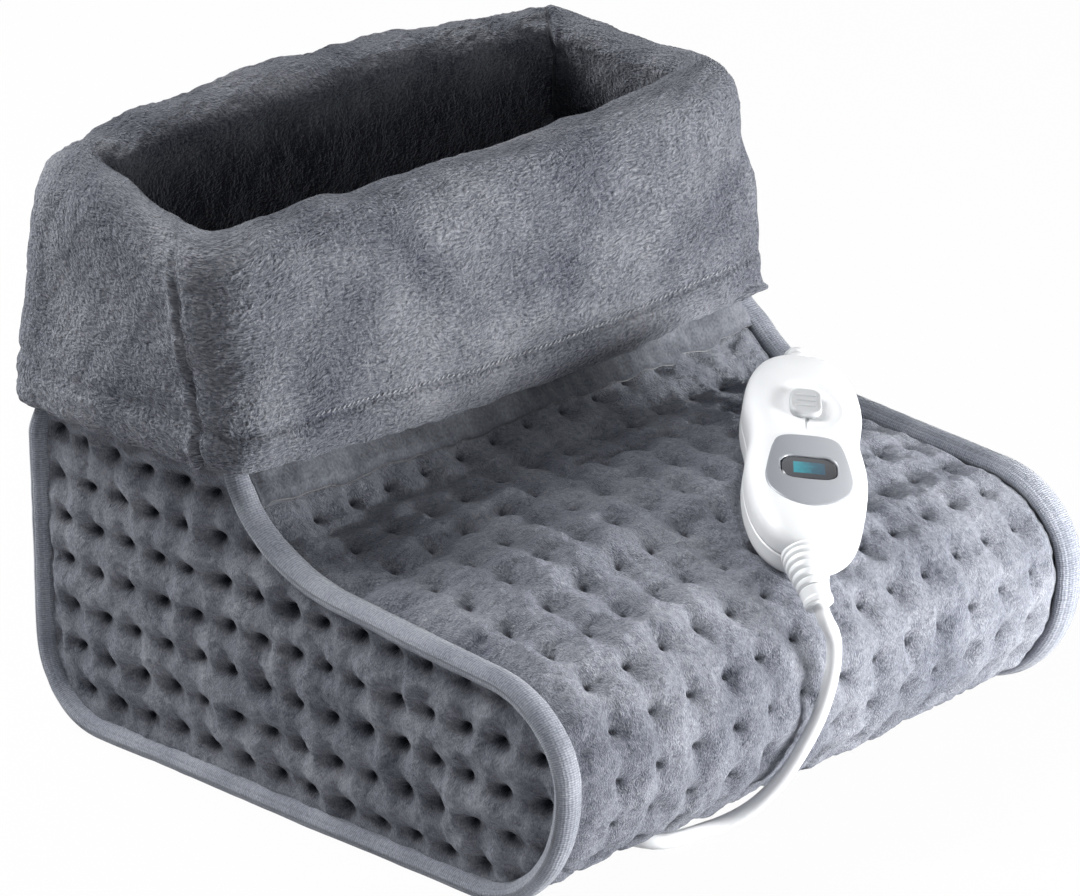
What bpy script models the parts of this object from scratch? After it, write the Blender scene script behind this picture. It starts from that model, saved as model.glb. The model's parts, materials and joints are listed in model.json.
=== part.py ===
"""Electric foot warmer: a quilted plush boot for two feet, with a turned-down
collar, a heated sole and a hand controller that lies on the instep.

Lengths are in metres. The toe points to -Y, the heel to +Y, the width runs
along X, and the sole lies on Z = 0.
"""
import math

import bmesh
import bpy
from mathutils import Matrix, Vector
from mathutils.geometry import delaunay_2d_cdt

# Clearances
GAP = 0.0003                 # between touching pieces
OVERRUN = 0.004              # how far a cutter runs past what it cuts

# Overall outline of the boot
BODY_LENGTH = 0.306          # toe binding to heel binding
HALF_WIDTH = 0.1575          # crest of the side panels
NECK_TOP = 0.222             # top of the walls inside the collar
NECK_DEPTH = 0.125           # heel to the front of the neck
NECK_LEAN = 0.008            # the front of the neck leans back
ANKLE_HEIGHT = 0.111         # where instep and neck lines would meet
ANKLE_DROP = 0.041           # setbacks of the ankle curve
ANKLE_RUN = 0.058
TOE_HEIGHT = 0.0953
TOE_TOP_RUN = 0.041
TOE_TOP_SHARE = 0.388        # share of the toe's height in its upper round
TOE_BOTTOM_SHARE = 0.588     # share of the toe's height in its lower round
TOE_BOTTOM_RUN = 0.050
HEEL_RUN = 0.038
HEEL_RISE = 0.040
CORNER_STEPS = 6             # segments in each rounded corner
FINE_STEPS = 16              # the same on the outline that the panels follow
ROUND_SHARE = 0.5523         # handle length that makes a Bezier corner round
INSTEP_SAMPLES = 80          # steps in the search for the instep's height

# Quilted outer panels
PANEL_THICKNESS = 0.009
PANEL_SETBACK = 0.0015       # panels lie this far inside the binding's edge
PANEL_START = 0.0243         # the quilted upper starts this far into the ankle curve
DIMPLE_DEPTH = 0.0036
DIMPLE_LINE_SHARE = 0.25     # share of that depth along the lines between dimples
UPPER_PITCH_X = 0.0223       # dimple grid of the upper and back panels
UPPER_PITCH_S = 0.0246
CROWN = 0.0175               # how far the instep swells at mid width
CROWN_ANKLE_SHARE = 0.85     # share of the swell at the end of the ankle curve
CROWN_TOE_SHARE = 0.40       # share of the swell where the toe's curve starts
NOSE_CROWN = 0.006
CROWN_POWER = 3.4
SIDE_THICKNESS = 0.0100
SIDE_EDGE_THICKNESS = 0.0065
SIDE_EDGE_ZONE = 0.016       # the side panel is drawn in over this border
SIDE_PITCH = 0.0189          # dimple grid of the side panels
SIDE_RIM_SHARE = 0.8         # point spacing round a side panel, as a share of the pitch

# Binding tape round each side panel
BINDING_WIDTH = 0.009
BINDING_PROUD = 0.0015
BINDING_CHAMFER = 0.0028
BINDING_GRIP = 0.0025        # it reaches in this far past the side panel

# Neck band under the collar
BAND_SETBACK = 0.0005
BAND_SLACK = 0.0020          # the band is set this far in front of the lining

# Linings
LINING_THICKNESS = 0.006
LINING_TOP_SHARE = 0.543     # share of the straight neck that the linings cover

# Sole
SOLE_THICKNESS = 0.004
FOAM_THICKNESS = 0.010
FELT_THICKNESS = 0.0025
SOLE_LINING_THICKNESS = 0.008
SOLE_TUCK = 0.005            # the upper turns in this far under the toe
SOLE_LINING_REACH = 0.010    # the sole lining reaches forward over the tuck

# Heating wire
WIRE_DIAMETER = 0.0024
WIRE_RUNS = 9
WIRE_MARGIN = 0.016
WIRE_TURN_STEPS = 3

# Collar
COLLAR_WALL = 0.0068
FLAP_GAP_SIDE = 0.0015
FLAP_GAP_FRONT = 0.0065
FLAP_GAP_TOP = 0.0015
CUFF_REAR_REACH = 0.0125     # back of the collar past the heel
RIM_RISE = 0.0210            # the rim stands this far above the walls
RIM_DIP = 0.0050             # the front rim sinks at mid width
RIM_ARCH = 0.0130            # the rear rim rises at mid width
ROLL = 0.0085                # height of the rolled rim
ROLL_FOOT_SHARE = 2.2        # heights of the roll's rings below its crest
ROLL_SIDE_SHARE = 1.1
ROLL_TOP_SHARE = 0.26
ROLL_TURN_SHARE = 0.42       # how far the shoulder lies on the way to the crest
ROLL_INSIDE_SHARE = 0.45
HEM_RISE = 0.0320            # the hem hangs to this far above the ankle
HEM_DIP = 0.0050
HEM_ROUND = 0.0030
HEM_OUTER_SHARE = 0.75       # where the hem's turns lie in the wall
HEM_INNER_SHARE = 0.40
FLARE_SHARE = 0.60           # share of the cuff's flare at half height
COLLAR_INNER_ROUND = 0.008
COLLAR_TOP_ROUND = 0.009
COLLAR_HEM_ROUND = 0.006
COLLAR_SIDE_STEPS = 5
COLLAR_FRONT_STEPS = 12
COLLAR_CORNER_STEPS = 4

# Lead between the controller and the boot
CORD_DIAMETER = 0.0062
CORD_SAMPLES = 28
CORD_CURVE_STEPS = 12        # steps between two points of its route
GLAND_RADIUS = 0.0047
GLAND_LENGTH = 0.008
GLAND_LIP = 0.0013
GLAND_X = -0.084
GROOVE_SAMPLES = 10          # last samples of the lead, which lie in the plush
INNER_LEAD_DIAMETER = 0.004
INNER_LEAD_LENGTH = 0.040
THERMOSTAT_SIZE = (0.010, 0.018, 0.0055)

# Controller
CASE_LENGTH = 0.139
CASE_HALF_WIDTH = 0.0256
CASE_BACK = 0.0110           # height of the back shell
CASE_FRONT = 0.0145          # height of the front shell
CASE_WALL = 0.0025
CASE_WAIST_SHARE = 0.10
CASE_WAIST_PLACE = 0.005
CASE_WAIST_SPREAD = 0.011
CASE_STEPS = 40
TOP_END_POWER = 4.0
LOW_END_POWER = 3.2
CASE_SIDE_POWER = 2.4
DOME_POWER = 4.2
FOOT_POWER = 7.0
DOME_SHARES = (1.0, 0.985, 0.95, 0.88, 0.77, 0.6, 0.35)
SHARE_HALVINGS = 24          # steps in the search for a point's share of the outline
TINY_SHARE = 1e-6
CONTROLLER_X = 0.0470
CONTROLLER_BEHIND_TOE = 0.0618
CONTROLLER_HEADING = math.radians(47.2)
CONTROLLER_PITCH = math.radians(13.0)
CONTROLLER_ROLL = math.radians(6.5)
SEAT_SHARE = 0.72            # share of the case's outline that bears on the instep
SEAT_PRESS = 0.0034          # how deep it presses into the plush

BUTTON_PLACE = 0.0225
BUTTON_WIDTH = 0.0132
BUTTON_LENGTH = 0.0180
BUTTON_HEIGHT = 0.0030
BUTTON_TRAVEL = 0.0060
BUTTON_RIDGES = 3
RIDGE_PITCH = 0.0038
RIDGE_WIDTH = 0.0012
RIDGE_HEIGHT = 0.0006
RIDGE_SPAN_SHARE = 0.66      # share of the button's width that a ridge spans
STEM_WIDTH = 0.0036
STEM_LENGTH = 0.0050
DISH_RADIUS = 0.0172
DISH_LENGTH = 0.0215
DISH_FLAT_SHARE = 0.66
DISH_FLOOR = 0.0132          # height of the dish above the case's split
DISH_SIDES = 28
BEZEL_TOP = -0.0025
BEZEL_LOW = -0.0505
BEZEL_HALF_WIDTH = 0.0176
BEZEL_POWER = 0.72           # below 1 its outline is squarer than an ellipse
BEZEL_TAPER_SHARE = 0.17     # how much narrower it gets upwards
BEZEL_BROAD_SHARE = 0.35     # where it is broadest, below its middle
BEZEL_SHARES = (1.0, 0.97, 0.9, 0.6)
BEZEL_SIDES = 28
BEZEL_PROUD = 0.0004
BEZEL_SEAT = 0.0112          # height of the trim's ledge above the split
LEDGE_WIDTH = 0.0018
LEDGE_DEPTH = 0.0020
WINDOW_HALF_LENGTH = 0.0115
WINDOW_HALF_WIDTH = 0.0082
WINDOW_THICKNESS = 0.0012
BOARD_THICKNESS = 0.0016
BOARD_INSET = 0.0035
BOARD_DROP = 0.0020          # underside of the board below the split
DISPLAY_SIZE = (0.0170, 0.0110)
SWITCH_SIZE = (0.0100, 0.0160)
SWITCH_CLEAR = 0.0010
BOSS_X = 0.0135
BOSS_TOP_SETBACK = 0.0195    # bosses to the ends of the case
BOSS_LOW_SETBACK = 0.0175
BOSS_RADIUS = 0.0038
BOSS_SIDES = 12
FRONT_BOSS_RADIUS = 0.0029
SCREW_RADIUS = 0.00125
SCREW_HEAD_RADIUS = 0.0026
SCREW_HEAD_HEIGHT = 0.0015
SCREW_SINK = 0.0028
SCREW_LENGTH = 0.0115
SCREW_SIDES = 10
RELIEF_ROOT = 0.0090
RELIEF_TIP = 0.0046
RELIEF_LENGTH = 0.0230
RELIEF_SINK = 0.0085         # how far a relief reaches into the case
RELIEF_RIBS = 6
RELIEF_SIDES = 16
RIB_HEIGHT = 0.0009
RELIEF_DROOP = math.radians(26.0)
RELIEF_SWAY = math.radians(24.0)
STUB_LENGTH = 0.0110
STUB_RADIUS = 0.0056
STUB_RIBS = 3
STUB_SIDES = 14

# Places worked out from the sizes above
FRONT_TO_BACK = BODY_LENGTH + NOSE_CROWN - PANEL_SETBACK + CUFF_REAR_REACH
TOE_Y = -FRONT_TO_BACK / 2 + NOSE_CROWN - PANEL_SETBACK
HEEL_Y = TOE_Y + BODY_LENGTH
NECK_FRONT_Y = HEEL_Y - NECK_DEPTH
SOLE_FRONT_Y = TOE_Y + TOE_BOTTOM_RUN + SOLE_TUCK + GAP
SOLE_BACK_Y = HEEL_Y - HEEL_RUN - SOLE_TUCK - GAP
PANEL_INSET = PANEL_SETBACK + PANEL_THICKNESS
LINING_INSET = PANEL_INSET + GAP
FOAM_Z = SOLE_THICKNESS + GAP
FELT_Z = FOAM_Z + FOAM_THICKNESS + GAP
WIRE_Z = FELT_Z + FELT_THICKNESS + GAP
SOLE_LINING_Z = WIRE_Z + WIRE_DIAMETER + GAP
SIDE_INNER_X = HALF_WIDTH - SIDE_THICKNESS
PANEL_HALF_WIDTH = SIDE_INNER_X - BINDING_GRIP
LINING_INNER_X = SIDE_INNER_X - 2 * GAP - LINING_THICKNESS
ANKLE_TOP = ANKLE_HEIGHT + ANKLE_DROP
LINING_TOP = ANKLE_TOP + (NECK_TOP - ANKLE_TOP) * LINING_TOP_SHARE
RIM_HEIGHT = NECK_TOP + RIM_RISE
HEM_HEIGHT = ANKLE_HEIGHT + HEM_RISE
GLAND_Z = GLAND_RADIUS + 2 * GAP
GROOVE_FLOOR = FOAM_Z + FOAM_THICKNESS - THERMOSTAT_SIZE[2] - 2 * GAP
GROOVE_END = SOLE_FRONT_Y + INNER_LEAD_LENGTH + THERMOSTAT_SIZE[1] + 3 * GAP
BOARD_LOW = CASE_BACK - BOARD_DROP
BOARD_TOP = BOARD_LOW + BOARD_THICKNESS
BEZEL_MIDDLE = (BEZEL_TOP + BEZEL_LOW) / 2
SWITCH_PLACE = BUTTON_PLACE - BUTTON_TRAVEL / 2
SWITCH_TOP = CASE_BACK + DISH_FLOOR - CASE_WALL - SWITCH_CLEAR - BUTTON_HEIGHT


def clear_scene():
    for item in list(bpy.data.objects):
        bpy.data.objects.remove(item, do_unlink=True)


def material(name, colour, roughness, metallic=0.0):
    made = bpy.data.materials.new(name)
    made.use_nodes = True
    shader = made.node_tree.nodes["Principled BSDF"]
    shader.inputs["Base Color"].default_value = (*colour, 1.0)
    shader.inputs["Roughness"].default_value = roughness
    shader.inputs["Metallic"].default_value = metallic
    return made


def add_mesh(name, points, faces, finish, parent=None, sharp=35.0):
    mesh = bpy.data.meshes.new(name)
    mesh.from_pydata([tuple(p) for p in points], [], faces)
    grid = bmesh.new()
    grid.from_mesh(mesh)
    bmesh.ops.recalc_face_normals(grid, faces=grid.faces)
    grid.to_mesh(mesh)
    grid.free()
    mesh.shade_smooth()
    mesh.set_sharp_from_angle(angle=math.radians(sharp))
    made = bpy.data.objects.new(name, mesh)
    bpy.context.collection.objects.link(made)
    made.parent = parent
    if finish:
        mesh.materials.append(finish)
    return made


def loft(rings, closed=False):
    """Faces between rings of equal count; the ends are capped or joined."""
    count = len(rings[0])
    points = [p for ring in rings for p in ring]
    faces = []
    spans = len(rings) if closed else len(rings) - 1
    for i in range(spans):
        here = i * count
        there = ((i + 1) % len(rings)) * count
        for j in range(count):
            k = (j + 1) % count
            faces.append((here + j, here + k, there + k, there + j))
    if not closed:
        faces.append(tuple(range(count)))
        last = (len(rings) - 1) * count
        faces.append(tuple(last + j for j in reversed(range(count))))
    return points, faces


def swept(route, radii, sides):
    """A mesh tube along a route, with its rings square to it."""
    rings = []
    across = None
    if isinstance(radii, float):
        radii = [radii] * len(route)
    for i, place in enumerate(route):
        along = (route[min(i + 1, len(route) - 1)] - route[max(i - 1, 0)]).normalized()
        across = (across or along.orthogonal())
        across = (across - along * across.dot(along)).normalized()
        other = along.cross(across)
        rings.append([place + across * c + other * d for c, d in circle(radii[i], sides)])
    return loft(rings)


def circle(radius, sides):
    turn = 2 * math.pi / sides
    return [(radius * math.cos(turn * i), radius * math.sin(turn * i)) for i in range(sides)]


def cutter(name, points, faces, parent=None):
    made = add_mesh(name, points, faces, None, parent)
    made.hide_render = True
    made.display_type = "WIRE"
    return made


def apply_boolean(target, tool, operation):
    step = target.modifiers.new(tool.name, "BOOLEAN")
    step.operation = operation
    step.solver = "EXACT"
    step.object = tool


def smooth(t):
    t = min(max(t, 0.0), 1.0)
    return t * t * (3.0 - 2.0 * t)


def blend_keys(keys, s):
    """Smooth value at s through (place, value) keys in rising order."""
    if s <= keys[0][0]:
        return keys[0][1]
    for (s0, v0), (s1, v1) in zip(keys, keys[1:]):
        if s <= s1:
            return v0 + (v1 - v0) * smooth((s - s0) / (s1 - s0))
    return keys[-1][1]


class Outline:
    """Side outline of the boot in (y, z), from the neck round toe and heel."""

    def __init__(self, top, steps=CORNER_STEPS):
        lean = NECK_LEAN / (NECK_TOP - ANKLE_HEIGHT)
        neck = (NECK_FRONT_Y + lean * (top - ANKLE_HEIGHT), top)
        corners = [
            ((NECK_FRONT_Y, ANKLE_HEIGHT), ANKLE_DROP, ANKLE_RUN),
            ((TOE_Y, TOE_HEIGHT), TOE_TOP_RUN, TOE_HEIGHT * TOE_TOP_SHARE),
            ((TOE_Y, 0.0), TOE_HEIGHT * TOE_BOTTOM_SHARE, TOE_BOTTOM_RUN),
            ((HEEL_Y, 0.0), HEEL_RUN, HEEL_RISE),
        ]
        places = [neck] + [c[0] for c in corners] + [(HEEL_Y, top)]
        places = [Vector(p) for p in places]
        self.points = [places[0]]
        marks = []
        for i, (_, before, after) in enumerate(corners, start=1):
            corner = places[i]
            start = corner + (places[i - 1] - corner).normalized() * before
            end = corner + (places[i + 1] - corner).normalized() * after
            first = len(self.points)
            for k in range(steps + 1):
                t = k / steps
                near = start.lerp(corner, ROUND_SHARE)
                far = end.lerp(corner, ROUND_SHARE)
                u = 1.0 - t
                self.points.append(start * u**3 + near * (3 * u * u * t)
                                   + far * (3 * u * t * t) + end * t**3)
            marks.append((first, len(self.points) - 1))
        self.points.append(places[-1])
        self.lengths = [0.0]
        for a, b in zip(self.points, self.points[1:]):
            self.lengths.append(self.lengths[-1] + (b - a).length)
        self.corner_spans = [(self.lengths[a], self.lengths[b]) for a, b in marks]

    def normal(self, i):
        """Direction into the boot at point i."""
        low = self.points[max(i - 1, 0)]
        high = self.points[min(i + 1, len(self.points) - 1)]
        along = (high - low).normalized()
        return Vector((-along.y, along.x))

    def inset(self, distance):
        return [p + self.normal(i) * distance for i, p in enumerate(self.points)]

    def at(self, s):
        """Point and inward normal at arc length s."""
        for i in range(1, len(self.lengths)):
            if s <= self.lengths[i] or i == len(self.lengths) - 1:
                share = (s - self.lengths[i - 1]) / (self.lengths[i] - self.lengths[i - 1])
                place = self.points[i - 1].lerp(self.points[i], share)
                inward = self.normal(i - 1).lerp(self.normal(i), share).normalized()
                return place, inward
        return self.points[-1], self.normal(len(self.points) - 1)


PROFILE = Outline(NECK_TOP, FINE_STEPS)
(ANKLE_SPAN, TOE_TOP_SPAN, TOE_BOTTOM_SPAN, HEEL_SPAN) = PROFILE.corner_spans
PROFILE_LENGTH = PROFILE.lengths[-1]
UPPER_START = ANKLE_SPAN[0] + PANEL_START
UPPER_END = TOE_BOTTOM_SPAN[1] + SOLE_TUCK
BACK_START = HEEL_SPAN[0] - SOLE_TUCK
NOSE = (TOE_TOP_SPAN[1] + TOE_BOTTOM_SPAN[0]) / 2
INSTEP_MIDDLE = (ANKLE_SPAN[1] + TOE_TOP_SPAN[0]) / 2


def spread(low, high, pitch):
    """Evenly spaced places from low to high, close to the pitch."""
    steps = max(2, round((high - low) / pitch))
    return [low + (high - low) * i / steps for i in range(steps + 1)]


NECK_PLACES = [ANKLE_SPAN[0], (ANKLE_SPAN[0] + UPPER_START) / 2]
UPPER_PLACES = spread(UPPER_START, UPPER_END, UPPER_PITCH_S / 2)
BACK_PLACES = spread(BACK_START, PROFILE_LENGTH, UPPER_PITCH_S / 2)


def crown_at(x, s):
    """How far the upper panel swells out at width x and outline length s."""
    across = 1.0 - min(abs(x) / PANEL_HALF_WIDTH, 1.0) ** CROWN_POWER
    keys = [
        (UPPER_START, 0.0),
        (ANKLE_SPAN[1], CROWN_ANKLE_SHARE),
        (INSTEP_MIDDLE, 1.0),
        (TOE_TOP_SPAN[0], CROWN_TOE_SHARE),
        (NOSE, NOSE_CROWN / CROWN),
        (TOE_BOTTOM_SPAN[1], 0.0),
    ]
    return CROWN * across * blend_keys(keys, s)


def upper_point(x, s, depth=0.0):
    """Point of the upper panel's outer skin, or below it by depth."""
    place, inward = PROFILE.at(s)
    out = place + inward * (PANEL_SETBACK + depth - crown_at(x, s))
    return Vector((x, out.x, out.y))


def instep_height(x, y):
    """Height of the upper panel's skin over the point (x, y) of the instep."""
    start = ANKLE_SPAN[0]
    step = (TOE_TOP_SPAN[1] - start) / INSTEP_SAMPLES
    before = upper_point(x, start)
    for i in range(1, INSTEP_SAMPLES + 1):
        here = upper_point(x, start + step * i)
        if here.y <= y:
            share = (before.y - y) / (before.y - here.y)
            return before.z + (here.z - before.z) * share
        before = here
    return before.z


def case_half_width(y):
    """Half width of the controller at y: two lobes with a waist between."""
    share = min(abs(y) / (CASE_LENGTH / 2), 1.0)
    power = TOP_END_POWER if y > 0 else LOW_END_POWER
    full = (1.0 - share**power) ** (1.0 / CASE_SIDE_POWER)
    waist = CASE_WAIST_SHARE * math.exp(-((y - CASE_WAIST_PLACE) / CASE_WAIST_SPREAD) ** 2 / 2)
    return CASE_HALF_WIDTH * full * (1.0 - waist)


def case_outline(inset=0.0):
    """Peanut outline of the controller, seen from above."""
    outline = []
    length = CASE_LENGTH / 2
    for i in range(CASE_STEPS):
        turn = 2 * math.pi * (i + 0.5) / CASE_STEPS
        y = length * math.sin(turn)
        x = math.copysign(case_half_width(y), math.cos(turn))
        outline.append((x * (1.0 - inset / CASE_HALF_WIDTH), y * (1.0 - inset / length)))
    return outline


def controller_place():
    """Matrix of the controller lying on the instep; its back is at z = 0."""
    turn = (Matrix.Rotation(-CONTROLLER_HEADING, 4, "Z")
            @ Matrix.Rotation(CONTROLLER_PITCH, 4, "X")
            @ Matrix.Rotation(CONTROLLER_ROLL, 4, "Y"))
    centre = Vector((CONTROLLER_X, TOE_Y + CONTROLLER_BEHIND_TOE, 0.0))
    lift = None
    for u, v in [(0.0, 0.0)] + case_outline():
        spot = centre + turn @ Vector((u * SEAT_SHARE, v * SEAT_SHARE, 0.0))
        needed = instep_height(spot.x, spot.y) - spot.z
        lift = needed if lift is None else max(lift, needed)
    centre.z = lift - SEAT_PRESS
    return Matrix.Translation(centre) @ turn


CONTROLLER_MATRIX = controller_place()
TO_CONTROLLER = CONTROLLER_MATRIX.inverted()


def press_under_controller(point, margin):
    """Keep a point of the instep just below the controller's flat back."""
    local = TO_CONTROLLER @ point
    beside = abs(local.x) < CASE_HALF_WIDTH + margin
    along = abs(local.y) < CASE_LENGTH / 2 + margin
    if beside and along and local.z > -GAP:
        local.z = -GAP
        return CONTROLLER_MATRIX @ local
    return point


def dimple(u, v, pitch_u, pitch_v):
    """Depth below the pillows of a quilt whose dimples lie at whole pitches."""
    across = math.cos(math.pi * u / pitch_u) ** 2
    along = math.cos(math.pi * v / pitch_v) ** 2
    middle_share = 1.0 - 2 * DIMPLE_LINE_SHARE
    return DIMPLE_DEPTH * (DIMPLE_LINE_SHARE * (across + along) + middle_share * across * along)


def quilt_columns():
    """Places across the width, two to each dimple, and the panel's two edges."""
    half = UPPER_PITCH_X / 2
    count = int((PANEL_HALF_WIDTH - half / 2) / half)
    return [-PANEL_HALF_WIDTH] + [half * k for k in range(-count, count + 1)] + [PANEL_HALF_WIDTH]


def curved_slab(name, skin, x_places, s_places, thickness, finish):
    """A slab bent along the outline; its inner face is plain across X.

    skin(x, s) gives the outer point, and the inner face is a ruled one at the
    given inset from the outline.
    """
    columns = len(x_places)
    rows = len(s_places)
    points = [skin(x, s) for s in s_places for x in x_places]
    faces = []
    for i in range(rows - 1):
        for j in range(columns - 1):
            a = i * columns + j
            faces.append((a, a + 1, a + columns + 1, a + columns))
    base = len(points)

    def inner_point(x, s):
        place, inward = PROFILE.at(s)
        flat = place + inward * (PANEL_SETBACK + thickness)
        return Vector((x, flat.x, flat.y))

    first_row = [base + j for j in range(columns)]
    points += [inner_point(x, s_places[0]) for x in x_places]
    last_row = [base + columns + j for j in range(columns)]
    points += [inner_point(x, s_places[-1]) for x in x_places]
    left = [first_row[0]]
    right = [first_row[-1]]
    for s in s_places[1:-1]:
        left.append(len(points))
        points.append(inner_point(x_places[0], s))
        right.append(len(points))
        points.append(inner_point(x_places[-1], s))
    left.append(last_row[0])
    right.append(last_row[-1])
    for i in range(rows - 1):
        if i == 0:
            faces.append(tuple(first_row) + (right[1], left[1]))
        elif i == rows - 2:
            faces.append((left[i], right[i]) + tuple(reversed(last_row)))
        else:
            faces.append((left[i], right[i], right[i + 1], left[i + 1]))
        top = i * columns
        faces.append((top, top + columns, left[i + 1], left[i]))
        end = top + columns - 1
        faces.append((end, end + columns, right[i + 1], right[i]))
    for j in range(columns - 1):
        faces.append((j, j + 1, first_row[j + 1], first_row[j]))
        tail = (rows - 1) * columns + j
        faces.append((tail, tail + 1, last_row[j + 1], last_row[j]))
    return add_mesh(name, points, faces, finish)


def upper_panel(finish):
    """Quilted instep, toe and front, pressed where the controller lies."""
    s_places = UPPER_PLACES
    step = s_places[1] - s_places[0]

    def skin(x, s):
        inside = abs(x) < PANEL_HALF_WIDTH
        flat = s in (s_places[0], s_places[-1]) or s > TOE_BOTTOM_SPAN[1] - step
        quilted = inside and not flat
        depth = dimple(x, s - s_places[0], UPPER_PITCH_X, 2 * step) if quilted else 0.0
        return press_under_controller(upper_point(x, s, depth), UPPER_PITCH_X / 2)

    panel = curved_slab("upper_panel", skin, quilt_columns(), s_places, PANEL_THICKNESS, finish)
    notch = [Vector((GLAND_X, SOLE_FRONT_Y - GLAND_LENGTH - GAP, GLAND_Z)),
             Vector((GLAND_X, SOLE_FRONT_Y + OVERRUN, GLAND_Z))]
    notch_cutter = cutter("gland_notch", *swept(notch, GLAND_RADIUS + GAP, BOSS_SIDES))
    apply_boolean(panel, notch_cutter, "DIFFERENCE")
    groove = lead_route()[-GROOVE_SAMPLES:]
    groove[-1].y += GAP
    groove_cutter = cutter("lead_groove_in_toe",
                           *swept(groove, CORD_DIAMETER / 2 + GAP, SCREW_SIDES))
    apply_boolean(panel, groove_cutter, "DIFFERENCE")
    return panel


def back_panel(finish):
    """Quilted heel panel, from the sole up into the collar."""
    s_places = BACK_PLACES
    step = s_places[1] - s_places[0]

    def skin(x, s):
        place, inward = PROFILE.at(s)
        plain = abs(x) >= PANEL_HALF_WIDTH or place.y > HEM_HEIGHT or s <= HEEL_SPAN[0] + step
        depth = 0.0 if plain else dimple(x, s - s_places[0], UPPER_PITCH_X, 2 * step)
        out = place + inward * (PANEL_SETBACK + depth)
        return Vector((x, out.x, out.y))

    return curved_slab("back_panel", skin, quilt_columns(), s_places, PANEL_THICKNESS, finish)


def distance_to_outline(point, outline):
    nearest = None
    for a, b in zip(outline, outline[1:] + outline[:1]):
        run = b - a
        t = min(max((point - a).dot(run) / run.length_squared, 0.0), 1.0)
        away = (point - a - run * t).length
        nearest = away if nearest is None else min(nearest, away)
    return nearest


def inside_outline(point, outline):
    inside = False
    for a, b in zip(outline, outline[1:] + outline[:1]):
        if (a.y > point.y) != (b.y > point.y):
            crossing = a.x + (point.y - a.y) * (b.x - a.x) / (b.y - a.y)
            if point.x < crossing:
                inside = not inside
    return inside


def side_panel(name, side, finish):
    """Quilted side: pillows between dimples, drawn in at the binding."""
    inset = Outline(NECK_TOP).inset(BINDING_WIDTH + GAP)
    inset[0].y = NECK_TOP
    inset[-1].y = NECK_TOP
    step = SIDE_PITCH / 2
    outline = []
    for a, b in zip(inset, inset[1:] + inset[:1]):
        parts = max(1, round((b - a).length / (SIDE_RIM_SHARE * SIDE_PITCH)))
        outline += [a.lerp(b, k / parts) for k in range(parts)]
    lattice = []
    columns = round(BODY_LENGTH / step)
    rows = round(NECK_TOP / step)
    for i in range(columns + 1):
        for j in range(rows + 1):
            spot = Vector((TOE_Y + i * step, j * step))
            if inside_outline(spot, outline) and distance_to_outline(spot, outline) > step / 2:
                lattice.append(spot)
    edges = [(i, (i + 1) % len(outline)) for i in range(len(outline))]
    flat, _, triangles, _, _, _ = delaunay_2d_cdt(outline + lattice, edges, [], 1, GAP / 10)

    def height(spot):
        away = distance_to_outline(spot, outline)
        swell = smooth(away / SIDE_EDGE_ZONE)
        full = SIDE_EDGE_THICKNESS + (SIDE_THICKNESS - SIDE_EDGE_THICKNESS) * swell
        if away < step / 2 or spot.y > HEM_HEIGHT + step:
            return full
        return full - dimple(spot.x - TOE_Y, spot.y, SIDE_PITCH, SIDE_PITCH)

    points = [(side * (SIDE_INNER_X + height(p)), p.x, p.y) for p in flat]
    faces = [tuple(t) for t in triangles]
    rim = len(outline)
    base = len(points)
    points += [(side * SIDE_INNER_X, p.x, p.y) for p in flat[:rim]]
    faces.append(tuple(base + i for i in range(rim)))
    for i in range(rim):
        k = (i + 1) % rim
        faces.append((i, k, base + k, base + i))
    return add_mesh(name, points, faces, finish)


def binding(name, side, finish):
    """Folded knit tape that closes the seam round a side panel."""
    path = Outline(LINING_TOP)
    inner = PANEL_HALF_WIDTH + GAP
    outer = HALF_WIDTH + BINDING_PROUD
    cut = BINDING_CHAMFER
    section = [
        (inner, cut / 2), (inner + cut / 2, 0.0), (outer - cut, 0.0), (outer, cut),
        (outer, BINDING_WIDTH - cut / 2), (outer - cut / 2, BINDING_WIDTH),
        (inner, BINDING_WIDTH),
    ]
    rings = []
    for i, place in enumerate(path.points):
        inward = path.normal(i)
        ring = []
        for x, depth in section:
            spot = place + inward * depth
            ring.append((side * x, spot.x, spot.y))
        rings.append(ring)
    return add_mesh(name, *loft(rings), finish, sharp=50.0)


def flat_strip(name, places, near, far, half_width, finish):
    """A plain slab that follows the outline between two insets."""
    rings = []
    for s in places:
        place, inward = PROFILE.at(s)
        a = place + inward * near
        b = place + inward * far
        rings.append([(-half_width, a.x, a.y), (half_width, a.x, a.y),
                      (half_width, b.x, b.y), (-half_width, b.x, b.y)])
    return add_mesh(name, *loft(rings), finish)


def neck_band(finish):
    """Smooth fleece band between the quilted instep and the collar's rim."""
    places = [0.0] + NECK_PLACES + [UPPER_START - GAP]
    return flat_strip("neck_band", places, BAND_SETBACK, LINING_INSET - BAND_SLACK,
                      PANEL_HALF_WIDTH, finish)


def linings(finish):
    """Plush lining of the foot space: front and top, heel, and both sides."""
    top_drop = NECK_TOP - LINING_TOP
    far = LINING_INSET + LINING_THICKNESS
    heel_top = PROFILE_LENGTH - top_drop
    front = [top_drop] + NECK_PLACES + UPPER_PLACES
    heel = [s for s in BACK_PLACES if s < heel_top - SOLE_TUCK] + [heel_top]
    flat_strip("upper_lining", front, LINING_INSET, far, LINING_INNER_X, finish)
    flat_strip("heel_lining", heel, LINING_INSET, far, LINING_INNER_X, finish)
    outline = []
    for s in front + heel:
        place, inward = PROFILE.at(s)
        outline.append(place + inward * LINING_INSET)
    for side, name in ((-1, "left_lining"), (1, "right_lining")):
        outer = side * (SIDE_INNER_X - GAP)
        inner = side * (SIDE_INNER_X - GAP - LINING_THICKNESS)
        rings = [[(x, p.x, p.y) for p in outline] for x in (outer, inner)]
        add_mesh(name, *loft(rings), finish)


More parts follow.
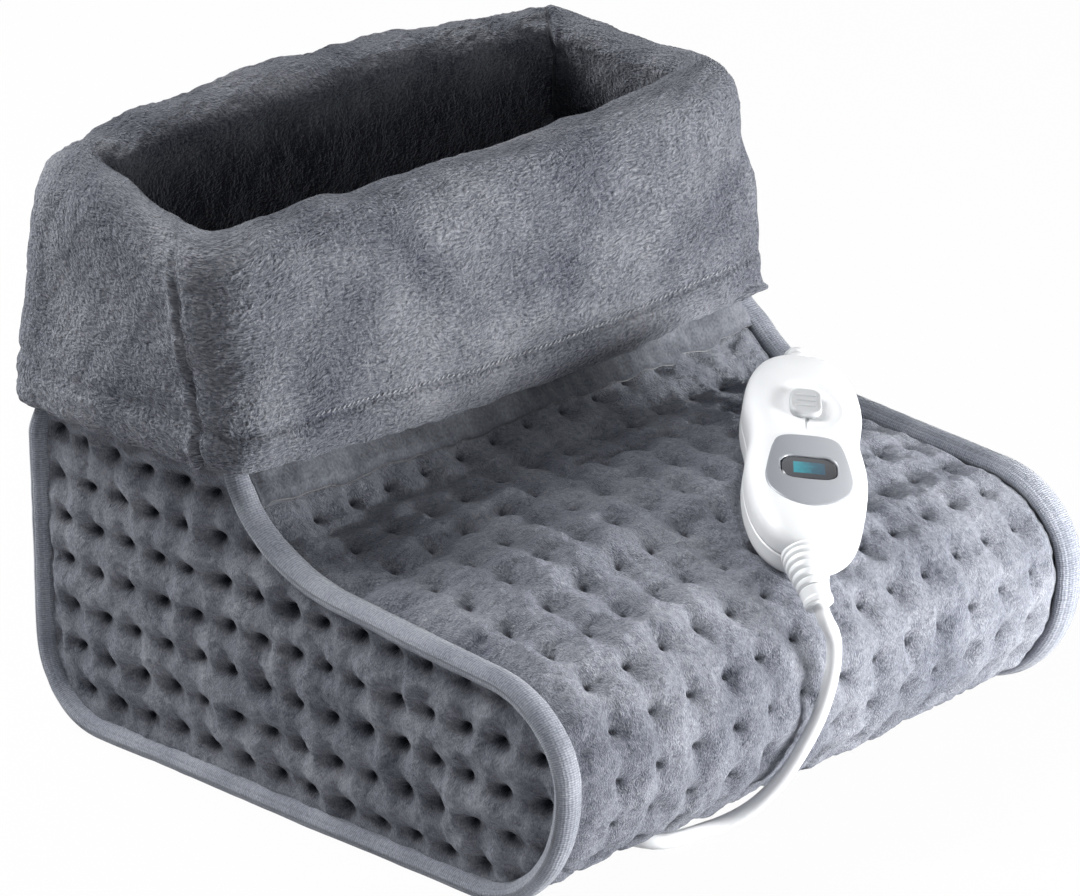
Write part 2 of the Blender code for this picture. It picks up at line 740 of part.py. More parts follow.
def box(name, low, high, finish, parent=None):
    rings = [[(low[0], low[1], z), (high[0], low[1], z), (high[0], high[1], z),
              (low[0], high[1], z)] for z in (low[2], high[2])]
    return add_mesh(name, *loft(rings), finish, parent)


def sole(fabric, foam, felt, plush):
    """Sole cloth, foam, heater felt and the lining that the feet rest on."""
    half = PANEL_HALF_WIDTH
    lining_half = LINING_INNER_X
    front = SOLE_FRONT_Y
    back = SOLE_BACK_Y
    box("sole_panel", (-half, front, 0.0), (half, back, SOLE_THICKNESS), fabric)
    pad = box("foam_pad", (-lining_half, front, FOAM_Z),
              (lining_half, back, FOAM_Z + FOAM_THICKNESS), foam)
    groove_half = THERMOSTAT_SIZE[0] / 2 + GAP
    groove = box("lead_groove", (GLAND_X - groove_half, front - OVERRUN, GROOVE_FLOOR),
                 (GLAND_X + groove_half, GROOVE_END, FOAM_Z + FOAM_THICKNESS + OVERRUN), None)
    groove.hide_render = True
    groove.display_type = "WIRE"
    apply_boolean(pad, groove, "DIFFERENCE")
    box("heater_felt", (-lining_half, front, FELT_Z),
        (lining_half, back, FELT_Z + FELT_THICKNESS), felt)
    box("sole_lining", (-lining_half, front - SOLE_LINING_REACH, SOLE_LINING_Z),
        (lining_half, back + SOLE_TUCK, SOLE_LINING_Z + SOLE_LINING_THICKNESS), plush)


def tube(name, route, diameter, resolution, finish):
    """A round tube through the points of a route."""
    line = bpy.data.curves.new(name, "CURVE")
    line.dimensions = "3D"
    line.bevel_depth = diameter / 2
    line.bevel_resolution = resolution
    line.resolution_u = 1
    line.render_resolution_u = 0
    line.use_fill_caps = True
    spline = line.splines.new("POLY")
    spline.points.add(len(route) - 1)
    for point, place in zip(spline.points, route):
        point.co = (*place, 1.0)
    line.materials.append(finish)
    made = bpy.data.objects.new(name, line)
    bpy.context.collection.objects.link(made)
    return made


def heating_wire(finish):
    """One heating wire laid to and fro over the felt."""
    half = SIDE_INNER_X - LINING_THICKNESS - WIRE_MARGIN
    front = SOLE_FRONT_Y + WIRE_MARGIN
    pitch = (SOLE_BACK_Y - WIRE_MARGIN - front) / (WIRE_RUNS - 1)
    radius = pitch / 2
    z = WIRE_Z + WIRE_DIAMETER / 2
    route = [(-half, front, z)]
    for run in range(WIRE_RUNS):
        side = 1 if run % 2 == 0 else -1
        y = front + pitch * run
        route.append((side * (half - radius), y, z))
        if run == WIRE_RUNS - 1:
            route.append((side * half, y, z))
            break
        for k in range(1, WIRE_TURN_STEPS + 1):
            turn = math.pi * k / (WIRE_TURN_STEPS + 1)
            route.append((side * (half - radius + radius * math.sin(turn)),
                          y + radius - radius * math.cos(turn), z))
        route.append((side * (half - radius), y + pitch, z))
    tube("heating_wire", route, WIRE_DIAMETER, 1, finish)


def thermostat(lead_finish, body_finish):
    """Inner lead and overheat cut-out, in their groove of the foam pad."""
    start = SOLE_FRONT_Y + GAP
    end = SOLE_FRONT_Y + INNER_LEAD_LENGTH
    z = FOAM_Z + FOAM_THICKNESS - GAP - THERMOSTAT_SIZE[2] / 2
    route = [(GLAND_X, start, GROOVE_FLOOR + GAP + INNER_LEAD_DIAMETER / 2), (GLAND_X, end, z)]
    tube("inner_lead", route, INNER_LEAD_DIAMETER, 1, lead_finish)
    width, length, height = THERMOSTAT_SIZE
    low = (GLAND_X - width / 2, end + GAP, FOAM_Z + FOAM_THICKNESS - GAP - height)
    high = (GLAND_X + width / 2, end + GAP + length, FOAM_Z + FOAM_THICKNESS - GAP)
    box("thermal_cutout", low, high, body_finish)


def rounded_ring(half, front, back, radius):
    """Plan points of a rounded rectangle, with fixed counts per side."""
    ring = []
    corners = [
        (half - radius, front + radius, -math.pi / 2),
        (half - radius, back - radius, 0.0),
        (-half + radius, back - radius, math.pi / 2),
        (-half + radius, front + radius, math.pi),
    ]
    counts = [COLLAR_SIDE_STEPS, COLLAR_FRONT_STEPS] * 2
    for i, (x, y, start) in enumerate(corners):
        arc = []
        for k in range(COLLAR_CORNER_STEPS + 1):
            turn = start + math.pi / 2 * k / COLLAR_CORNER_STEPS
            arc.append(Vector((x + radius * math.cos(turn), y + radius * math.sin(turn))))
        ring += arc
        nx, ny, nstart = corners[(i + 1) % 4]
        following = Vector((nx + radius * math.cos(nstart), ny + radius * math.sin(nstart)))
        for k in range(1, counts[i]):
            ring.append(arc[-1].lerp(following, k / counts[i]))
    return ring


def rim_height(x, y):
    """The rim dips at the front and rises at the back, both at mid width."""
    middle = (NECK_FRONT_Y + HEEL_Y) / 2
    across = math.cos(math.pi / 2 * min(abs(x) / HALF_WIDTH, 1.0)) ** 2
    depth = min(max((y - middle) / (HEEL_Y - middle), -1.0), 1.0)
    return RIM_HEIGHT + across * (RIM_ARCH * max(depth, 0.0) - RIM_DIP * max(-depth, 0.0))


def hem_height(x, y):
    """The hem sags between the front corners."""
    middle = (NECK_FRONT_Y + HEEL_Y) / 2
    across = math.cos(math.pi / 2 * min(abs(x) / HALF_WIDTH, 1.0)) ** 2
    return HEM_HEIGHT - (HEM_DIP * across if y < middle else 0.0)


def collar(finish):
    """Plush collar: the inner wall rises from the lining, rolls over the rim
    and hangs down outside as a deep cuff. Its section is an inverted U."""
    front_top = NECK_FRONT_Y + NECK_LEAN
    wall = COLLAR_WALL
    inner = {"half": SIDE_INNER_X - GAP, "front": front_top + LINING_INSET,
             "back": HEEL_Y - LINING_INSET, "round": COLLAR_INNER_ROUND}
    top = {"half": HALF_WIDTH + BINDING_PROUD + GAP,
           "front": front_top - FLAP_GAP_TOP, "back": HEEL_Y + FLAP_GAP_TOP,
           "round": COLLAR_TOP_ROUND}
    hem = {"half": HALF_WIDTH + BINDING_PROUD + FLAP_GAP_SIDE,
           "front": NECK_FRONT_Y - FLAP_GAP_FRONT,
           "back": HEEL_Y + CUFF_REAR_REACH - wall, "round": COLLAR_HEM_ROUND}

    def grown(plan, by):
        return {"half": plan["half"] + by, "front": plan["front"] - by,
                "back": plan["back"] + by, "round": max(plan["round"] + by, GAP)}

    def mixed(a, b, share):
        return {key: a[key] + (b[key] - a[key]) * share for key in a}

    def low(x, y):
        return LINING_TOP + GAP

    def under_rim(share):
        return lambda x, y: rim_height(x, y) - ROLL * share

    def over_hem(lift):
        return lambda x, y: hem_height(x, y) + lift

    def halfway(x, y):
        return (rim_height(x, y) + hem_height(x, y)) / 2

    crest = mixed(grown(inner, -wall / 2), grown(top, wall / 2), 0.5)
    well = grown(inner, -wall)
    skin = grown(top, wall)
    cuff = mixed(top, hem, FLARE_SHARE)
    sections = [
        (well, low),
        (well, under_rim(ROLL_FOOT_SHARE)),
        (well, under_rim(ROLL_SIDE_SHARE)),
        (mixed(well, crest, ROLL_TURN_SHARE), under_rim(ROLL_TOP_SHARE)),
        (crest, rim_height),
        (mixed(skin, crest, ROLL_TURN_SHARE), under_rim(ROLL_TOP_SHARE)),
        (skin, under_rim(ROLL_SIDE_SHARE)),
        (grown(cuff, wall), halfway),
        (grown(hem, wall), over_hem(3 * HEM_ROUND)),
        (grown(hem, wall * HEM_OUTER_SHARE), over_hem(HEM_ROUND / 2)),
        (grown(hem, wall * HEM_INNER_SHARE), hem_height),
        (hem, over_hem(HEM_ROUND)),
        (cuff, halfway),
        (top, under_rim(ROLL_FOOT_SHARE)),
        (mixed(top, crest, ROLL_INSIDE_SHARE), under_rim(ROLL_SIDE_SHARE)),
        (mixed(inner, crest, ROLL_INSIDE_SHARE), under_rim(ROLL_SIDE_SHARE)),
        (inner, under_rim(ROLL_FOOT_SHARE)),
        (inner, low),
    ]
    rings = []
    for plan, height in sections:
        ring = rounded_ring(plan["half"], plan["front"], plan["back"], plan["round"])
        rings.append([(p.x, p.y, height(p.x, p.y)) for p in ring])
    return add_mesh("collar", *loft(rings, closed=True), finish, sharp=60.0)


def dome_height(share, height, power):
    return height * (1.0 - min(share, 1.0) ** power) ** (1.0 / power)


def shell(name, height, power, upward, finish, parent):
    """Half of the case: an outer and an inner dome joined at the split."""
    outer = case_outline()
    inner = case_outline(CASE_WALL)
    sign = 1.0 if upward else -1.0
    points = []
    faces = []

    def dome(outline, rise):
        first = len(points)
        for share in DOME_SHARES:
            z = CASE_BACK + sign * dome_height(share, rise, power)
            points.extend((u * share, v * share, z) for u, v in outline)
        for i in range(len(DOME_SHARES) - 1):
            for j in range(CASE_STEPS):
                k = (j + 1) % CASE_STEPS
                a = first + i * CASE_STEPS
                b = a + CASE_STEPS
                faces.append((a + j, a + k, b + k, b + j))
        points.append((0.0, 0.0, CASE_BACK + sign * rise))
        tip = len(points) - 1
        last = first + (len(DOME_SHARES) - 1) * CASE_STEPS
        for j in range(CASE_STEPS):
            faces.append((last + j, last + (j + 1) % CASE_STEPS, tip))
        return first

    a = dome(outer, height)
    b = dome(inner, height - CASE_WALL)
    for j in range(CASE_STEPS):
        k = (j + 1) % CASE_STEPS
        faces.append((a + j, a + k, b + k, b + j))
    for i, point in enumerate(points):
        split = CASE_BACK + sign * GAP / 2
        if abs(point[2] - CASE_BACK) < GAP / 2:
            points[i] = (point[0], point[1], split)
    return add_mesh(name, points, faces, finish, parent, sharp=50.0)


def prism(outline, low, high):
    return loft([[(x, y, low) for x, y in outline], [(x, y, high) for x, y in outline]])


def ring_prism(outer, inner, low, high):
    rings = []
    for outline, z in ((outer, low), (outer, high), (inner, high), (inner, low)):
        rings.append([(x, y, z) for x, y in outline])
    return loft(rings, closed=True)


def ellipse(x_radius, y_radius, place, sides):
    return [(x_radius * c, place + y_radius * s) for c, s in circle(1.0, sides)]


def joined(parts):
    """Points and faces of several closed meshes in one list."""
    points = []
    faces = []
    for part_points, part_faces in parts:
        start = len(points)
        points += part_points
        faces += [tuple(start + i for i in face) for face in part_faces]
    return points, faces


def rounded_rectangle(half_x, half_y, radius, place, steps=3):
    outline = []
    for cx, cy, start in ((1, 1, 0), (-1, 1, 1), (-1, -1, 2), (1, -1, 3)):
        for k in range(steps + 1):
            turn = math.pi / 2 * (start + k / steps)
            outline.append((cx * (half_x - radius) + radius * math.cos(turn),
                            place + cy * (half_y - radius) + radius * math.sin(turn)))
    return outline


def bezel_outline(grow=0.0):
    """Shield outline of the display trim, broad below and narrow above."""
    half = (BEZEL_TOP - BEZEL_LOW) / 2 + grow
    outline = []
    for c, s in circle(1.0, BEZEL_SIDES):
        round_x = math.copysign(abs(c) ** BEZEL_POWER, c)
        round_y = math.copysign(abs(s) ** BEZEL_POWER, s)
        taper = 1.0 - BEZEL_TAPER_SHARE * (round_y + BEZEL_BROAD_SHARE)
        place = BEZEL_MIDDLE + half * round_y
        outline.append((round_x * (BEZEL_HALF_WIDTH + grow) * taper, place))
    return outline


def case_share(x, y):
    """Share of the way from the case's centre to its outline at (x, y)."""
    low = TINY_SHARE
    high = 1.0
    for _ in range(SHARE_HALVINGS):
        share = (low + high) / 2
        if abs(x) / share >= case_half_width(y / share):
            low = share
        else:
            high = share
    return high


def case_top(x, y):
    """Height of the front shell's outer face over (x, y)."""
    return CASE_BACK + dome_height(case_share(x, y), CASE_FRONT, DOME_POWER)


def boss_places():
    top = CASE_LENGTH / 2 - BOSS_TOP_SETBACK
    low = -CASE_LENGTH / 2 + BOSS_LOW_SETBACK
    return [(side * BOSS_X, y) for y in (top, low) for side in (-1, 1)]


def bosses(name, radius, low, high, parent, sides=BOSS_SIDES):
    pillars = [prism([(x + cx, y + cy) for cx, cy in circle(radius, sides)], low, high)
               for x, y in boss_places()]
    return cutter(name, *joined(pillars), parent)


def relief_bore(name, clearance, parent):
    """Cutter for the seats of the two reliefs, one at each end of the case."""
    length = CASE_LENGTH / 2
    seats = []
    for sign, size in ((1, STUB_RADIUS), (-1, RELIEF_ROOT)):
        rings = []
        for y in (sign * (length - RELIEF_SINK - GAP), sign * (length + OVERRUN)):
            ring = circle(size + clearance, RELIEF_SIDES)
            rings.append([(x, y, CASE_BACK + z) for x, z in ring])
        seats.append(loft(rings))
    return cutter(name, *joined(seats), parent)


def case_shells(plastic, parent):
    """Front and back shells with bosses, screw holes and openings."""
    bore = relief_bore("relief_bore", GAP, parent)
    split = CASE_BACK
    front = shell("front_shell", CASE_FRONT, DOME_POWER, True, plastic, parent)
    reach = min(case_top(x, y) for x, y in boss_places()) - CASE_WALL / 2
    apply_boolean(front, bosses("front_bosses", FRONT_BOSS_RADIUS, BOARD_TOP + GAP, reach,
                                parent), "UNION")
    hole_top = SCREW_SINK + SCREW_LENGTH + GAP
    apply_boolean(front, bosses("front_boss_holes", SCREW_RADIUS + GAP, BOARD_TOP - OVERRUN,
                                hole_top, parent, SCREW_SIDES), "DIFFERENCE")
    seat = split + BEZEL_SEAT
    ledge = ring_prism(bezel_outline(LEDGE_WIDTH), bezel_outline(-LEDGE_WIDTH),
                       seat - LEDGE_DEPTH, split + CASE_FRONT - CASE_WALL)
    apply_boolean(front, cutter("bezel_ledge", *ledge, parent), "UNION")
    dish = cutter("dish_cutter", *dish_shape(), parent)
    apply_boolean(front, dish, "DIFFERENCE")
    slot_low = STEM_LENGTH / 2 + BUTTON_TRAVEL + GAP
    slot_high = STEM_LENGTH / 2 + GAP
    slot_place = BUTTON_PLACE + (slot_high - slot_low) / 2
    slot = rounded_rectangle(STEM_WIDTH / 2 + GAP, (slot_low + slot_high) / 2, STEM_WIDTH / 4,
                             slot_place)
    apply_boolean(front, cutter("stem_slot", *prism(slot, split, split + CASE_FRONT + OVERRUN),
                                parent), "DIFFERENCE")
    recess = prism(bezel_outline(GAP), seat, split + CASE_FRONT + OVERRUN)
    apply_boolean(front, cutter("bezel_recess", *recess, parent), "DIFFERENCE")
    opening = prism(bezel_outline(-LEDGE_WIDTH), seat - OVERRUN, seat + OVERRUN)
    apply_boolean(front, cutter("bezel_opening", *opening, parent), "DIFFERENCE")
    apply_boolean(front, bore, "DIFFERENCE")

    back = shell("back_shell", CASE_BACK, FOOT_POWER, False, plastic, parent)
    apply_boolean(back, bosses("back_bosses", BOSS_RADIUS, CASE_WALL / 2, BOARD_LOW - GAP,
                               parent), "UNION")
    apply_boolean(back, bosses("screw_holes", SCREW_RADIUS + GAP, -OVERRUN, split, parent,
                               SCREW_SIDES), "DIFFERENCE")
    recess_top = SCREW_SINK + SCREW_HEAD_HEIGHT + GAP
    apply_boolean(back, bosses("head_recesses", SCREW_HEAD_RADIUS + GAP, -OVERRUN, recess_top,
                               parent), "DIFFERENCE")
    apply_boolean(back, bore, "DIFFERENCE")


def dish_shape():
    """Shallow dish in the front face that the slide button stands in."""
    low = CASE_BACK + DISH_FLOOR
    flat = ellipse(DISH_RADIUS * DISH_FLAT_SHARE, DISH_LENGTH * DISH_FLAT_SHARE, SWITCH_PLACE,
                   DISH_SIDES)
    lip = ellipse(DISH_RADIUS, DISH_LENGTH, SWITCH_PLACE, DISH_SIDES)
    return loft([
        [(x, y, low) for x, y in flat],
        [(x, y, max(case_top(x, y), low + GAP)) for x, y in lip],
        [(x, y, low + CASE_FRONT) for x, y in lip],
    ])


def slide_button(finish, parent):
    """Slide button: ridged cap over the dish, with its stem in the slot."""
    floor = CASE_BACK + DISH_FLOOR + GAP
    top = floor + BUTTON_HEIGHT
    holder = bpy.data.objects.new("slide_axis", None)
    bpy.context.collection.objects.link(holder)
    holder.parent = parent
    holder.location = (0.0, BUTTON_PLACE, 0.0)
    half_x = BUTTON_WIDTH / 2
    half_y = BUTTON_LENGTH / 2
    edge = RIDGE_WIDTH / 2
    corner = BUTTON_WIDTH / 3
    rings = []
    for z, shrink in ((floor, 0.0), (top - 2 * edge, 0.0), (top - edge / 2, edge / 2),
                      (top, 2 * edge)):
        outline = rounded_rectangle(half_x - shrink, half_y - shrink, corner, 0.0)
        rings.append([(x, y, z) for x, y in outline])
    cap = add_mesh("slide_button", *loft(rings), finish, holder, sharp=40.0)
    stem = prism(rounded_rectangle(STEM_WIDTH / 2, STEM_LENGTH / 2, STEM_WIDTH / 4, 0.0, 2),
                 SWITCH_TOP + GAP, floor + BUTTON_HEIGHT / 2)
    apply_boolean(cap, cutter("button_stem", *stem, holder), "UNION")
    ridges = []
    for i in range(BUTTON_RIDGES):
        y = (i - (BUTTON_RIDGES - 1) / 2) * RIDGE_PITCH
        ridge = rounded_rectangle(half_x * RIDGE_SPAN_SHARE, RIDGE_WIDTH / 2, RIDGE_WIDTH / 3, y, 2)
        ridges.append(prism(ridge, top - edge, top + RIDGE_HEIGHT))
    apply_boolean(cap, cutter("button_ridges", *joined(ridges), holder), "UNION")


def display(trim, glass, board_finish, dark, parent):
    """Display trim, its window, the display below it, board and switch."""
    low = CASE_BACK + BEZEL_SEAT + GAP
    outline = bezel_outline()
    rings = [[(x, y, low) for x, y in outline]]
    for share in BEZEL_SHARES:
        lift = BEZEL_PROUD if share < 1.0 else 0.0
        ring = []
        for x, y in outline:
            px = x * share
            py = BEZEL_MIDDLE + (y - BEZEL_MIDDLE) * share
            ring.append((px, py, case_top(px, py) + lift))
        rings.append(ring)
    bezel = add_mesh("display_bezel", *loft(rings), trim, parent, sharp=40.0)
    hole = prism(stadium(GAP), low - OVERRUN, CASE_BACK + CASE_FRONT + OVERRUN)
    apply_boolean(bezel, cutter("window_hole", *hole, parent), "DIFFERENCE")
    window_top = case_top(WINDOW_HALF_LENGTH, BEZEL_MIDDLE) - BEZEL_PROUD
    window_low = window_top - WINDOW_THICKNESS
    add_mesh("display_window", *prism(stadium(), window_low, window_top), glass, parent)

    board = add_mesh("circuit_board", *prism(case_outline(BOARD_INSET), BOARD_LOW, BOARD_TOP),
                     board_finish, parent)
    apply_boolean(board, bosses("board_holes", SCREW_RADIUS + 2 * GAP, BOARD_LOW - OVERRUN,
                                BOARD_TOP + OVERRUN, parent, SCREW_SIDES), "DIFFERENCE")
    apply_boolean(board, relief_bore("board_ends", GAP, parent), "DIFFERENCE")
    width, depth = DISPLAY_SIZE
    box("display_module", (-width / 2, BEZEL_MIDDLE - depth / 2, BOARD_TOP + GAP),
        (width / 2, BEZEL_MIDDLE + depth / 2, window_low - GAP), dark, parent)
    width, depth = SWITCH_SIZE
    box("switch_body", (-width / 2, SWITCH_PLACE - depth / 2, BOARD_TOP + GAP),
        (width / 2, SWITCH_PLACE + depth / 2, SWITCH_TOP), dark, parent)


def stadium(grow=0.0, steps=8):
    """Outline of the display window: straight long sides, round ends."""
    radius = WINDOW_HALF_WIDTH + grow
    run = WINDOW_HALF_LENGTH - WINDOW_HALF_WIDTH
    outline = []
    for side, start in ((1, -math.pi / 2), (-1, math.pi / 2)):
        for k in range(steps + 1):
            turn = start + math.pi * k / steps
            outline.append((side * run + radius * math.cos(turn),
                            BEZEL_MIDDLE + radius * math.sin(turn)))
    return outline


def case_screws(finish, parent):
    """Four screws that hold the two shells and the board together."""
    low = SCREW_SINK
    neck = low + SCREW_HEAD_HEIGHT
    tip = low + SCREW_LENGTH
    for i, (x, y) in enumerate(boss_places(), start=1):
        profile = [(SCREW_HEAD_RADIUS, low), (SCREW_HEAD_RADIUS, neck), (SCREW_RADIUS, neck),
                   (SCREW_RADIUS, tip - SCREW_RADIUS), (SCREW_RADIUS / 3, tip)]
        rings = [[(x + cx, y + cy, z) for cx, cy in circle(radius, SCREW_SIDES)]
                 for radius, z in profile]
        add_mesh(f"case_screw_{i}", *loft(rings), finish, parent, sharp=40.0)


def lower_relief_path():
    """Centre line of the lower relief: it bends down and aside over the toe."""
    count = 2 * RELIEF_RIBS + 1
    step = RELIEF_LENGTH / (count - 1)
    root = Vector((0.0, -CASE_LENGTH / 2, CASE_BACK))
    path = [root + Vector((0.0, RELIEF_SINK, 0.0)), root + Vector((0.0, RELIEF_SINK / 2, 0.0))]
    place = root
    for i in range(count):
        path.append(place.copy())
        share = smooth((i + 1) / (count - 1))
        heading = Vector((0.0, -1.0, 0.0))
        heading.rotate(Matrix.Rotation(RELIEF_DROOP * share, 3, "X"))
        heading.rotate(Matrix.Rotation(RELIEF_SWAY * share, 3, "Z"))
        place = place + heading * step
    return path


def strain_reliefs(finish, parent):
    """Tapered ribbed relief below and a short ribbed stub above."""
    path = lower_relief_path()
    radii = [RELIEF_ROOT, RELIEF_ROOT]
    ribs = len(path) - 2
    for i in range(ribs):
        share = i / (ribs - 1)
        radius = RELIEF_ROOT + (RELIEF_TIP - RELIEF_ROOT) * share
        radii.append(radius + (RIB_HEIGHT if i % 2 else 0.0))
    add_mesh("lower_strain_relief", *swept(path, radii, RELIEF_SIDES), finish, parent, sharp=50.0)

    top = CASE_LENGTH / 2
    count = 2 * STUB_RIBS + 1
    path = [Vector((0.0, top - RELIEF_SINK, CASE_BACK))]
    radii = [STUB_RADIUS]
    for i in range(count):
        share = i / (count - 1)
        path.append(Vector((0.0, top + STUB_LENGTH * share, CASE_BACK)))
        radii.append(STUB_RADIUS - RIB_HEIGHT * share + (RIB_HEIGHT / 2 if i % 2 else 0.0))
    add_mesh("upper_strain_relief", *swept(path, radii, STUB_SIDES), finish, parent, sharp=50.0)


def gland(finish):
    """Rubber gland where the lead enters the boot under the toe."""
    y0 = SOLE_FRONT_Y - GLAND_LENGTH
    y1 = SOLE_FRONT_Y - GAP
    rings = []
    for y, radius in ((y0, GLAND_RADIUS - GAP), (y0 + GLAND_LIP, GLAND_RADIUS),
                      (y1, GLAND_RADIUS)):
        rings.append([(GLAND_X + x, y, GLAND_Z + z) for x, z in circle(radius, BOSS_SIDES)])
    return add_mesh("cord_gland", *loft(rings), finish, sharp=50.0)


# Route of the lead, from the controller over the toe to the gland
CORD_ROUTE = [
    (-0.0135, -0.1660, 0.0840),
    (-0.0138, -0.1668, 0.0740),
    (-0.0155, -0.1662, 0.0640),
    (-0.0185, -0.1655, 0.0550),
    (-0.0225, -0.1643, 0.0465),
    (-0.0270, -0.1622, 0.0380),
    (-0.0310, -0.1590, 0.0295),
    (-0.0350, -0.1538, 0.0205),
    (-0.0400, -0.1470, 0.0120),
    (-0.0470, -0.1398, 0.0060),
    (-0.0560, -0.1348, 0.0036),
    (-0.0665, -0.1325, 0.0034),
    (-0.0760, -0.1298, 0.0040),
    (-0.0822, -0.1235, 0.0053),
]


def smooth_route(points, samples):
    """Even samples of a Catmull-Rom curve through the points."""
    ends = [points[0] * 2 - points[1]] + points + [points[-1] * 2 - points[-2]]
    dense = []
    for i in range(1, len(ends) - 2):
        for k in range(CORD_CURVE_STEPS):
            t = k / CORD_CURVE_STEPS
            p0, p1, p2, p3 = ends[i - 1:i + 3]
            dense.append(0.5 * ((2 * p1) + (p2 - p0) * t + (2 * p0 - 5 * p1 + 4 * p2 - p3) * t * t
                                + (3 * p1 - p0 - 3 * p2 + p3) * t**3))
    dense.append(points[-1])
    lengths = [0.0]
    for a, b in zip(dense, dense[1:]):
        lengths.append(lengths[-1] + (b - a).length)
    even = []
    j = 0
    for i in range(samples):
        s = lengths[-1] * i / (samples - 1)
        while j < len(lengths) - 2 and lengths[j + 1] < s:
            j += 1
        even.append(dense[j].lerp(dense[j + 1], (s - lengths[j]) / (lengths[j + 1] - lengths[j])))
    return even


def lead_route():
    """The lead lies from the relief's tip down the toe and into the gland."""
    path = lower_relief_path()
    tip = CONTROLLER_MATRIX @ path[-1]
    heading = (CONTROLLER_MATRIX @ path[-1] - CONTROLLER_MATRIX @ path[-2]).normalized()
    mouth = Vector((GLAND_X, SOLE_FRONT_Y - GLAND_LENGTH, GLAND_Z))
    inward = Vector((0.0, 1.0, 0.0))
    route = [tip + heading * GAP, tip + heading * CORD_DIAMETER]
    route += [Vector(p) for p in CORD_ROUTE]
    route += [mouth - inward * CORD_DIAMETER, mouth - inward * GAP]
    return smooth_route(route, CORD_SAMPLES)


def lead_cord(finish):
    route = lead_route()
    length = sum((b - a).length for a, b in zip(route, route[1:]))
    print("lead length", round(length, 4))
    tube("lead_cord", route, CORD_DIAMETER, 3, finish)


def main():
    clear_scene()
    quilt = material("quilted plush", (0.155, 0.170, 0.205), 0.95)
    side_quilt = material("quilted side plush", (0.150, 0.165, 0.200), 0.95)
    plush = material("long plush", (0.210, 0.225, 0.265), 0.95)
    fleece = material("smooth fleece", (0.260, 0.270, 0.300), 0.90)
    tape = material("knit tape", (0.200, 0.210, 0.240), 0.85)
    sole_cloth = material("sole cloth", (0.060, 0.063, 0.070), 0.90)
    foam = material("foam", (0.620, 0.600, 0.520), 0.95)
    felt = material("heater felt", (0.700, 0.690, 0.660), 0.95)
    wire = material("wire sleeve", (0.550, 0.150, 0.100), 0.50)
    white = material("white plastic", (0.860, 0.865, 0.870), 0.22)
    grey = material("grey plastic", (0.380, 0.390, 0.420), 0.35)
    trim = material("silver trim", (0.330, 0.340, 0.370), 0.30, 0.4)
    glass = material("window", (0.020, 0.024, 0.030), 0.08)
    dark = material("dark plastic", (0.035, 0.036, 0.040), 0.45)
    board = material("circuit board", (0.020, 0.150, 0.060), 0.50)
    steel = material("screw steel", (0.560, 0.560, 0.570), 0.30, 1.0)
    vinyl = material("white vinyl", (0.850, 0.850, 0.845), 0.35)
    rubber = material("gland rubber", (0.050, 0.052, 0.058), 0.60)

    upper_panel(quilt)
    back_panel(quilt)
    side_panel("left_side_panel", -1, side_quilt)
    side_panel("right_side_panel", 1, side_quilt)
    binding("left_binding", -1, tape)
    binding("right_binding", 1, tape)
    neck_band(fleece)
    collar(plush)
    linings(plush)
    sole(sole_cloth, foam, felt, plush)
    heating_wire(wire)
    thermostat(vinyl, dark)

    holder = bpy.data.objects.new("controller_frame", None)
    bpy.context.collection.objects.link(holder)
    holder.matrix_world = CONTROLLER_MATRIX
    case_shells(white, holder)
    slide_button(grey, holder)
    display(trim, glass, board, dark, holder)
    case_screws(steel, holder)
    strain_reliefs(white, holder)
    gland(rubber)
    lead_cord(vinyl)
    bpy.context.view_layer.update()


main()
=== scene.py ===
# %% [markdown]
# # Dressing an electric foot warmer
#
# The object is a boot for two feet: quilted plush panels, a turned-down plush collar and a
# white hand controller that lies on the instep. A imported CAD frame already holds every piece
# at its real size. This script makes the looks round that frame: it never moves a CAD piece,
# it only gives it a finish or puts a fuller piece in its place.

# %% Load the frame
import json
import math

import bmesh
import bpy
import numpy as np
from mathutils import Matrix, Vector


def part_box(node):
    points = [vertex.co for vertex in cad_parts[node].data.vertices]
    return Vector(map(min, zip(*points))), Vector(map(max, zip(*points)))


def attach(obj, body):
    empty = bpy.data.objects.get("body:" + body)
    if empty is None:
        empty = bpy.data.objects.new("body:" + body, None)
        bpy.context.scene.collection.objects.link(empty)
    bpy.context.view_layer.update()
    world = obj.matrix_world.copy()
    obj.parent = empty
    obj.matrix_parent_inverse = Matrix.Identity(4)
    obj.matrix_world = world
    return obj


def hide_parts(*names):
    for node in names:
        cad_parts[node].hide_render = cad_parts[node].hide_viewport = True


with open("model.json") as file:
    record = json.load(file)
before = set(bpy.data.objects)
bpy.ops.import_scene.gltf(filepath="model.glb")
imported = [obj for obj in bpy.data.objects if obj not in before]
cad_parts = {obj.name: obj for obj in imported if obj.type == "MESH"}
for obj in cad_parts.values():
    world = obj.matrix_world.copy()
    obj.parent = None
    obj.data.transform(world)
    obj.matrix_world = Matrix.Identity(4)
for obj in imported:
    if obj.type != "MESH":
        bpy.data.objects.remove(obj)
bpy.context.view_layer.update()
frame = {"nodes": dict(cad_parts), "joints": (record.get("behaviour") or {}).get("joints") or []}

# %% [markdown]
# ## The camera
#
# A camera can be placed by eye, or worked out from things of known size in the photograph.
# Here the boot's edges were measured, and they gave the place, the direction and the long
# lens. The frame is 1080 pixels wide, and `FOCAL_PIXELS` is the lens in those pixels.

# %% Place the camera
IMAGE_WIDTH = 1080
FOCAL_PIXELS = 5005.6
CAMERA_PLACE = Vector((-1.4136, -1.3344, 0.8624))
CAMERA_FORWARD = Vector((0.6773, 0.6425, -0.3584))


